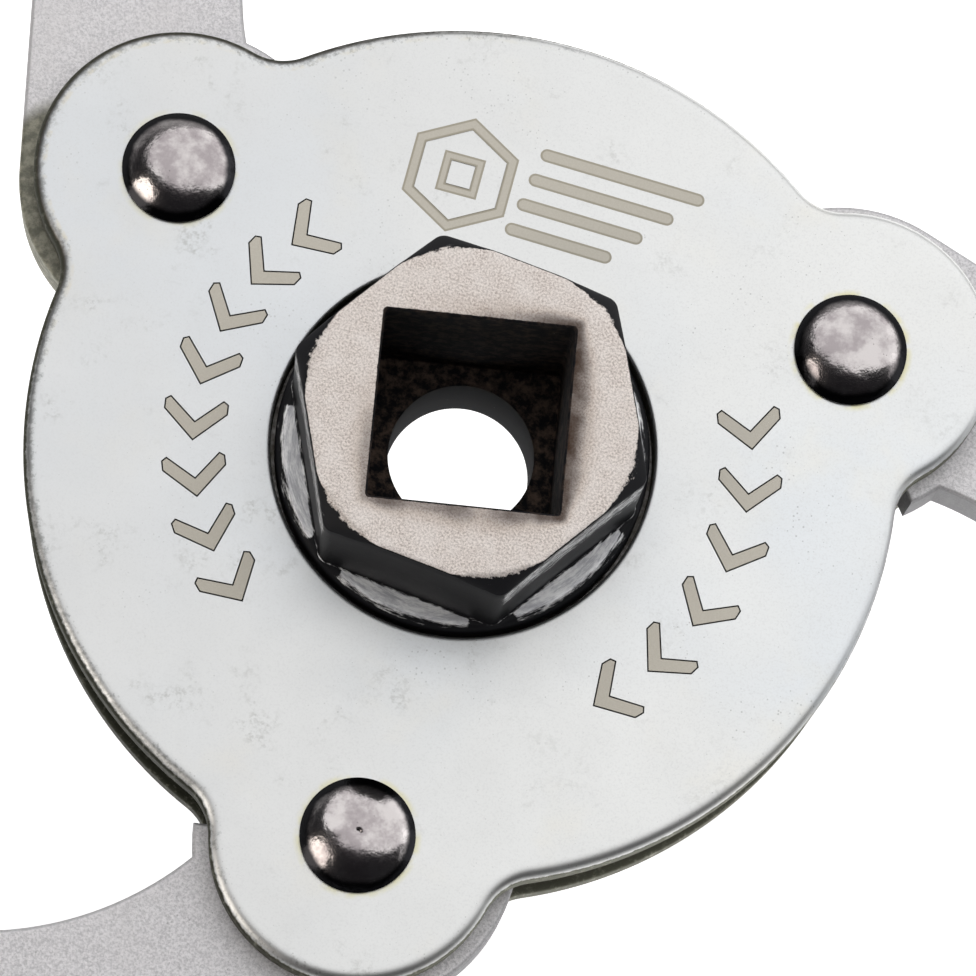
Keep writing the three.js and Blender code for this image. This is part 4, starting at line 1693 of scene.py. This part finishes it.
@dataclass
class Leg:
    """One leg: a toothed head on its bush, a curved arm, and a jaw bent down with saw teeth."""

    number: int
    head_radius: float = 11.2
    root_radius: float = 7.525
    bore: float = 5.1
    inner: float = 22.8
    outer: float = 37.6
    centre_reach: float = 30.5
    wrap: float = 72.0
    sweep: float = 90.0
    heel: float = 12.0
    first_tooth: float = 98.18
    teeth_start: float = 92.0
    tooth_count: int = 6
    bend: float = 2.5
    tip_width: float = 9.0
    tip_round: float = 1.5
    tip_edge: float = 0.5
    pitch: float = 2.6
    notch: float = 0.9
    notches: int = 13
    lean: float = 0.35
    crest: float = 0.15
    plain_end: float = 4.0
    rim: Rim = Rim(0.3, 0.3, 4)

    def plan(self) -> np.ndarray:
        """Open outline of head and arm, from the outer edge at the bend round to the inner edge.

        Returns:
            The points, counterclockwise, one row each.
        """
        reach = self.centre_reach
        centre = polar(reach, self.wrap + 180)
        end = self.wrap - self.sweep
        tangent = self.wrap - math.degrees(math.acos((self.outer - self.head_radius) / reach))
        cosine = (reach**2 + self.inner**2 - self.head_radius**2) / (2 * reach * self.inner)
        meet = self.wrap - math.degrees(math.acos(cosine))
        whole, period = gear_outline(LEG_TEETH, self.first_tooth)
        toothed = whole[: period * self.tooth_count]
        tip = np.linalg.norm(toothed, axis=1).argmax()
        heel_point = polar(self.inner, meet) + centre
        heel = math.degrees(math.atan2(heel_point[1], heel_point[0])) % FULL_TURN
        return np.concatenate([
            arc(centre, self.outer, end, tangent, 2)[:-1],
            arc((0, 0), self.head_radius, tangent, self.teeth_start, 4),
            toothed[tip:],
            polar(self.root_radius, np.array([heel - self.heel - 2, heel - self.heel])),
            arc((0, 0), self.head_radius, heel - self.heel, heel, 4),
            arc(centre, self.inner, meet, end, 2)[1:],
        ])

    def edges(self, height: float) -> tuple[float, float]:
        """Plain inner and outer edge of the blade at a height, as distances from the arm's centre.

        Args:
            height: The height.

        Returns:
            The two distances.
        """
        h = HEIGHTS
        shoulder = h.leg_under - self.bend - LEG_THICKNESS
        tip_outer = self.inner + self.tip_width
        share = min(1.0, max(0.0, (shoulder - height) / (shoulder - h.jaw_tip)))
        inner, outer = self.inner, self.outer + (tip_outer - self.outer) * share
        above = height - h.jaw_tip
        if above < self.tip_round:
            back = self.tip_round - math.sqrt(max(0.0, self.tip_round**2 - (self.tip_round - above) ** 2))
            inner, outer = inner + back, outer - back
        return inner, outer

    def stations(self) -> list[tuple[float, float]]:
        """Heights down the blade, each with how far its saw teeth are cut into the inner edge.

        Returns:
            Height and cut of each.
        """
        h = HEIGHTS
        top = h.jaw_tip + self.plain_end + self.notches * self.pitch
        made = [(z, 0.0) for z in np.linspace(h.leg_under - self.bend - 0.4, top + 0.3, 6)]
        root = self.crest + self.notch
        for tooth in range(self.notches):
            z = top - tooth * self.pitch
            deep = z - self.lean * self.pitch
            made += [(z, self.crest), (z - 0.07, self.crest + 0.03)]
            made += [(deep + 0.08, root - 0.05), (deep - 0.08, root - 0.03)]
            made.append((z - self.pitch + 0.16, self.crest + 0.02))
        end = top - self.notches * self.pitch
        made += [(end, self.crest), (end - 0.15, 0.0)]
        made += [(z, 0.0) for z in np.linspace(end - 0.6, h.jaw_tip + self.tip_round, 4)]
        for turn in np.linspace(15, 75, 5):
            made.append((h.jaw_tip + self.tip_round * (1 - math.sin(math.radians(turn))), 0.0))
        return made

    def arm(self, skin: Skin, rows: list[RimRow]) -> np.ndarray:
        """Adds the head and the flat arm.

        Args:
            skin: Takes the surface.
            rows: Rim rows from the under face to the top face.

        Returns:
            The open cross-section at the bend, up its outer edge and down its inner one.
        """
        plan = self.plan()
        out = mitres(plan, closed=False)
        hole = arc((0, 0), self.bore, 0, FULL_TURN, 7.5)[:-1]
        into = mitres(hole)
        rings, holes = [], []
        for inset, depth, edge, side in rows:
            height = HEIGHTS.leg_top - depth
            rings.append(skin.level(plan - out * inset, height, edge=edge, side=side))
            holes.append(skin.level(hole + into * inset, height, edge=edge, side=side))
        skin.bands(rings, closed=False)
        skin.bands(holes)
        skin.cap(rings[-1], holes[-1])
        skin.cap(rings[0], holes[0])
        return np.array([ring[0] for ring in rings] + [ring[-1] for ring in reversed(rings)])

    def jaw(self, skin: Skin, rows: list[RimRow], section: np.ndarray) -> None:
        """Bends the arm down, carries it along the saw teeth and closes it at the jaw's tip.

        Args:
            skin: Takes the surface.
            rows: Rim rows from the under face to the top face.
            section: The open cross-section at the bend.
        """
        h = HEIGHTS
        inset, depth, edge, side = np.array(rows + rows[::-1]).T
        is_inner = np.arange(len(inset)) >= len(rows)
        outer_bend = self.bend + LEG_THICKNESS
        middle = LEG_THICKNESS / 2
        sections = []
        for turn in np.radians(np.linspace(0, 90, 13)[1:]):
            radius = outer_bend - depth
            height = h.leg_under - self.bend + radius * math.cos(turn)
            sections.append((self.inner, self.outer, radius * math.sin(turn), height))
        end = [(h.jaw_tip, 0.0, GUARD * share) for share in (0, 1, 2)]
        for height, cut, inward in [(z, cut, 0.0) for z, cut in self.stations()] + end:
            inner, outer = self.edges(height)
            below = max(0.0, self.tip_edge - (height - h.jaw_tip))
            squeeze = self.tip_edge - math.sqrt(self.tip_edge**2 - below**2) + inward
            pinched = middle + (depth - middle) * (1 - squeeze / middle)
            sections.append((inner + cut + inward, outer - inward, outer_bend - pinched, height))
        centre = polar(self.centre_reach, self.wrap + 180)
        across = polar(1.0, self.wrap - self.sweep)
        onwards = polar(1.0, self.wrap - self.sweep - 90)
        for inner, outer, forward, height in sections:
            reach = np.where(is_inner, inner + inset, outer - inset)
            places = centre + reach[:, None] * across + forward[:, None] * onwards
            following = skin.level(places, height, edge=edge, side=side)
            skin.band(section, following)
            section = following
        skin.cap(section)

    def skin(self) -> Skin:
        """The leg's whole surface, about its own rivet.

        Returns:
            Its surface.
        """
        rows = [(i, LEG_THICKNESS - d, e, s) for i, d, e, s in reversed(self.rim.rows())]
        rows += self.rim.rows()
        skin = Skin()
        self.jaw(skin, rows, self.arm(skin, rows))
        return skin

    def build(self, steel: bpy.types.Material) -> None:
        """Builds and dresses the leg.

        Args:
            steel: The legs' material.
        """
        skin = self.skin()
        skin.moved(direction(self.number - 1), pivot(self.number - 1))
        piece = skin.within(f"leg_{self.number}").made(f"bent_leg_{self.number}", steel)
        settle(piece, Body[f"LEG_{self.number}"], Slot.LEG, f"leg_{self.number}")


# ---- Studio ----


def toward(azimuth: float, elevation: float) -> Vector:
    """Direction of an azimuth, counted from the front, and an elevation, in degrees."""
    turn, rise = math.radians(azimuth), math.radians(elevation)
    return Vector((math.sin(turn) * math.cos(rise), -math.cos(turn) * math.cos(rise), math.sin(rise)))


def put_up(name: str, data: bpy.types.ID, away: Vector, distance: float, roll: float) -> bpy.types.Object:
    """Puts a camera or a lamp in the scene, looking back along a direction.

    Args:
        name: The object's name.
        data: The camera or the lamp.
        away: Direction from what it looks at.
        distance: How far along it, in metres.
        roll: Turn about its own axis, in degrees.

    Returns:
        The new object.
    """
    thing = bpy.data.objects.new(name, data)
    thing.rotation_mode = "QUATERNION"
    level = away.to_track_quat("Z", "Y")
    thing.rotation_quaternion = level @ Euler((0, 0, math.radians(roll))).to_quaternion()
    thing.location = away * distance
    bpy.context.scene.collection.objects.link(thing)
    return thing


@dataclass
class Viewpoint:
    """Where the camera stands, in millimetres and degrees; its clip distances are in metres."""

    target: tuple[float, float, float] = (2.384, -2.281, -11.0)
    distance: float = 341.97
    azimuth: float = -0.19
    elevation: float = 77.04
    roll: float = 15.35
    lens: float = 182.85
    sensor: float = 36.0
    clip: tuple[float, float] = (0.01, 20.0)

    def build(self) -> None:
        """Makes the camera and gives it to the scene."""
        data = bpy.data.cameras.new("camera")
        data.lens = self.lens
        data.sensor_width = self.sensor
        data.clip_start, data.clip_end = self.clip
        back = toward(self.azimuth, self.elevation)
        camera = put_up("camera", data, back, self.distance * MM, self.roll)
        camera.location += Vector(self.target) * MM
        bpy.context.scene.camera = camera


class Face(Enum):
    """The shape of a lamp's face."""

    OBLONG = "RECTANGLE"
    OVAL = "ELLIPSE"


@dataclass(frozen=True)
class Softbox:
    """A soft lamp that faces the wrench: where it hangs, how large it is and how bright its face is.

    Lengths are in metres and angles in degrees.
    """

    name: str
    azimuth: float
    elevation: float
    distance: float
    size: tuple[float, float]
    radiance: float
    colour: Colour = (1.0, 1.0, 1.0)
    roll: float = 0.0
    face: Face = Face.OBLONG

    def build(self) -> None:
        """Hangs the lamp."""
        data = bpy.data.lights.new(self.name, "AREA")
        data.shape = self.face.value
        data.size, data.size_y = self.size
        area = self.size[0] * self.size[1] * (math.pi / 4 if self.face is Face.OVAL else 1)
        data.energy = self.radiance * math.pi * area
        data.color = self.colour
        away = toward(self.azimuth, self.elevation)
        lamp = put_up(self.name, data, away, self.distance, self.roll)
        lamp.visible_camera = False


@dataclass
class Studio:
    """A pale floor at the jaws' tips, soft lamps, and a dim room whose walls are pale up to a height.

    The walls' colour fades into the room's between two heights, given as the sine of the elevation. The
    floor's half width is in metres, and its gap under the jaws in millimetres.
    """

    floor_half: float = 1.5
    floor_gap: float = 0.05
    floor_glow: float = 0.68
    floor_pale: Colour = (0.9, 0.9, 0.9)
    floor_grey: Colour = (0.86, 0.86, 0.86)
    room: Colour = (0.018, 0.018, 0.02)
    wall: Colour = (0.44, 0.44, 0.44)
    wall_top: tuple[float, float] = (0.5, 0.24)
    lamps: tuple[Softbox, ...] = (
        Softbox("overhead_lamp", 165.3, 60.6, 0.5, (1.36, 0.94), 1.15, roll=24.7, face=Face.OVAL),
        Softbox("window_lamp", -54, 34, 0.7, (0.36, 0.46), 2.3, (1.0, 0.93, 0.85), face=Face.OVAL),
        Softbox("right_lamp", 100, 20, 0.9, (0.5, 0.3), 0.6),
    )

    def floor(self) -> None:
        """Lays the floor."""
        level = (HEIGHTS.jaw_tip - self.floor_gap) * MM
        half = self.floor_half
        corners = [(-half, -half, level), (half, -half, level), (half, half, level), (-half, half, level)]
        mesh = bpy.data.meshes.new("floor")
        mesh.from_pydata(corners, [], [(0, 1, 2, 3)])
        s = Surface("pale_floor")
        tone = s.mix(s.noise(220, 3), self.floor_grey, self.floor_pale)
        glow = {"Emission_Color": (1, 1, 1, 1), "Emission_Strength": self.floor_glow}
        mesh.materials.append(s.finished(Base_Color=tone, Roughness=0.9, **glow))
        floor = bpy.data.objects.new("floor", mesh)
        bpy.context.scene.collection.objects.link(floor)

    def backdrop(self) -> None:
        """Dims the room above its pale walls."""
        world = bpy.data.worlds.new("room")
        world.use_nodes = True
        world.node_tree.nodes.clear()
        nodes = NodeMaker(world.node_tree)
        way = nodes.add("ShaderNodeTexCoord").outputs["Generated"]
        rise = Value(nodes, nodes.add("ShaderNodeSeparateXYZ", None, {0: way}).outputs[2])
        inputs = {0: rise.step(*self.wall_top), 6: (*self.room, 1), 7: (*self.wall, 1)}
        tone = nodes.add("ShaderNodeMix", {"data_type": "RGBA"}, inputs).outputs[2]
        shade = nodes.add("ShaderNodeBackground", None, {"Color": tone}).outputs[0]
        nodes.add("ShaderNodeOutputWorld", None, {"Surface": shade})
        bpy.context.scene.world = world
        bpy.context.scene.view_settings.view_transform = "Standard"

    def build(self) -> None:
        """Lays the floor, hangs the lamps and dims the room."""
        self.floor()
        for lamp in self.lamps:
            lamp.build()
        self.backdrop()


def main() -> None:
    """Builds the studio and the wrench, piece by piece, and writes each piece's body and number of faces."""
    logging.basicConfig(level=logging.INFO, format="%(message)s", stream=sys.stdout)
    Viewpoint().build()
    Studio().build()
    Housing().build()
    EtchedMarks().build()
    DriveHub().build()
    shaded_side = pivot(SHADED_LEG) + polar(SHADE_MIDDLE_REACH, direction(SHADED_LEG) + SHADE_MIDDLE_TURN)
    steel = LegFinish(pair(pivot(SHADED_LEG)), pair(shaded_side)).material()
    for number in range(1, LEG_COUNT + 1):
        Leg(number).build(steel)


if __name__ == "__main__":
    main()
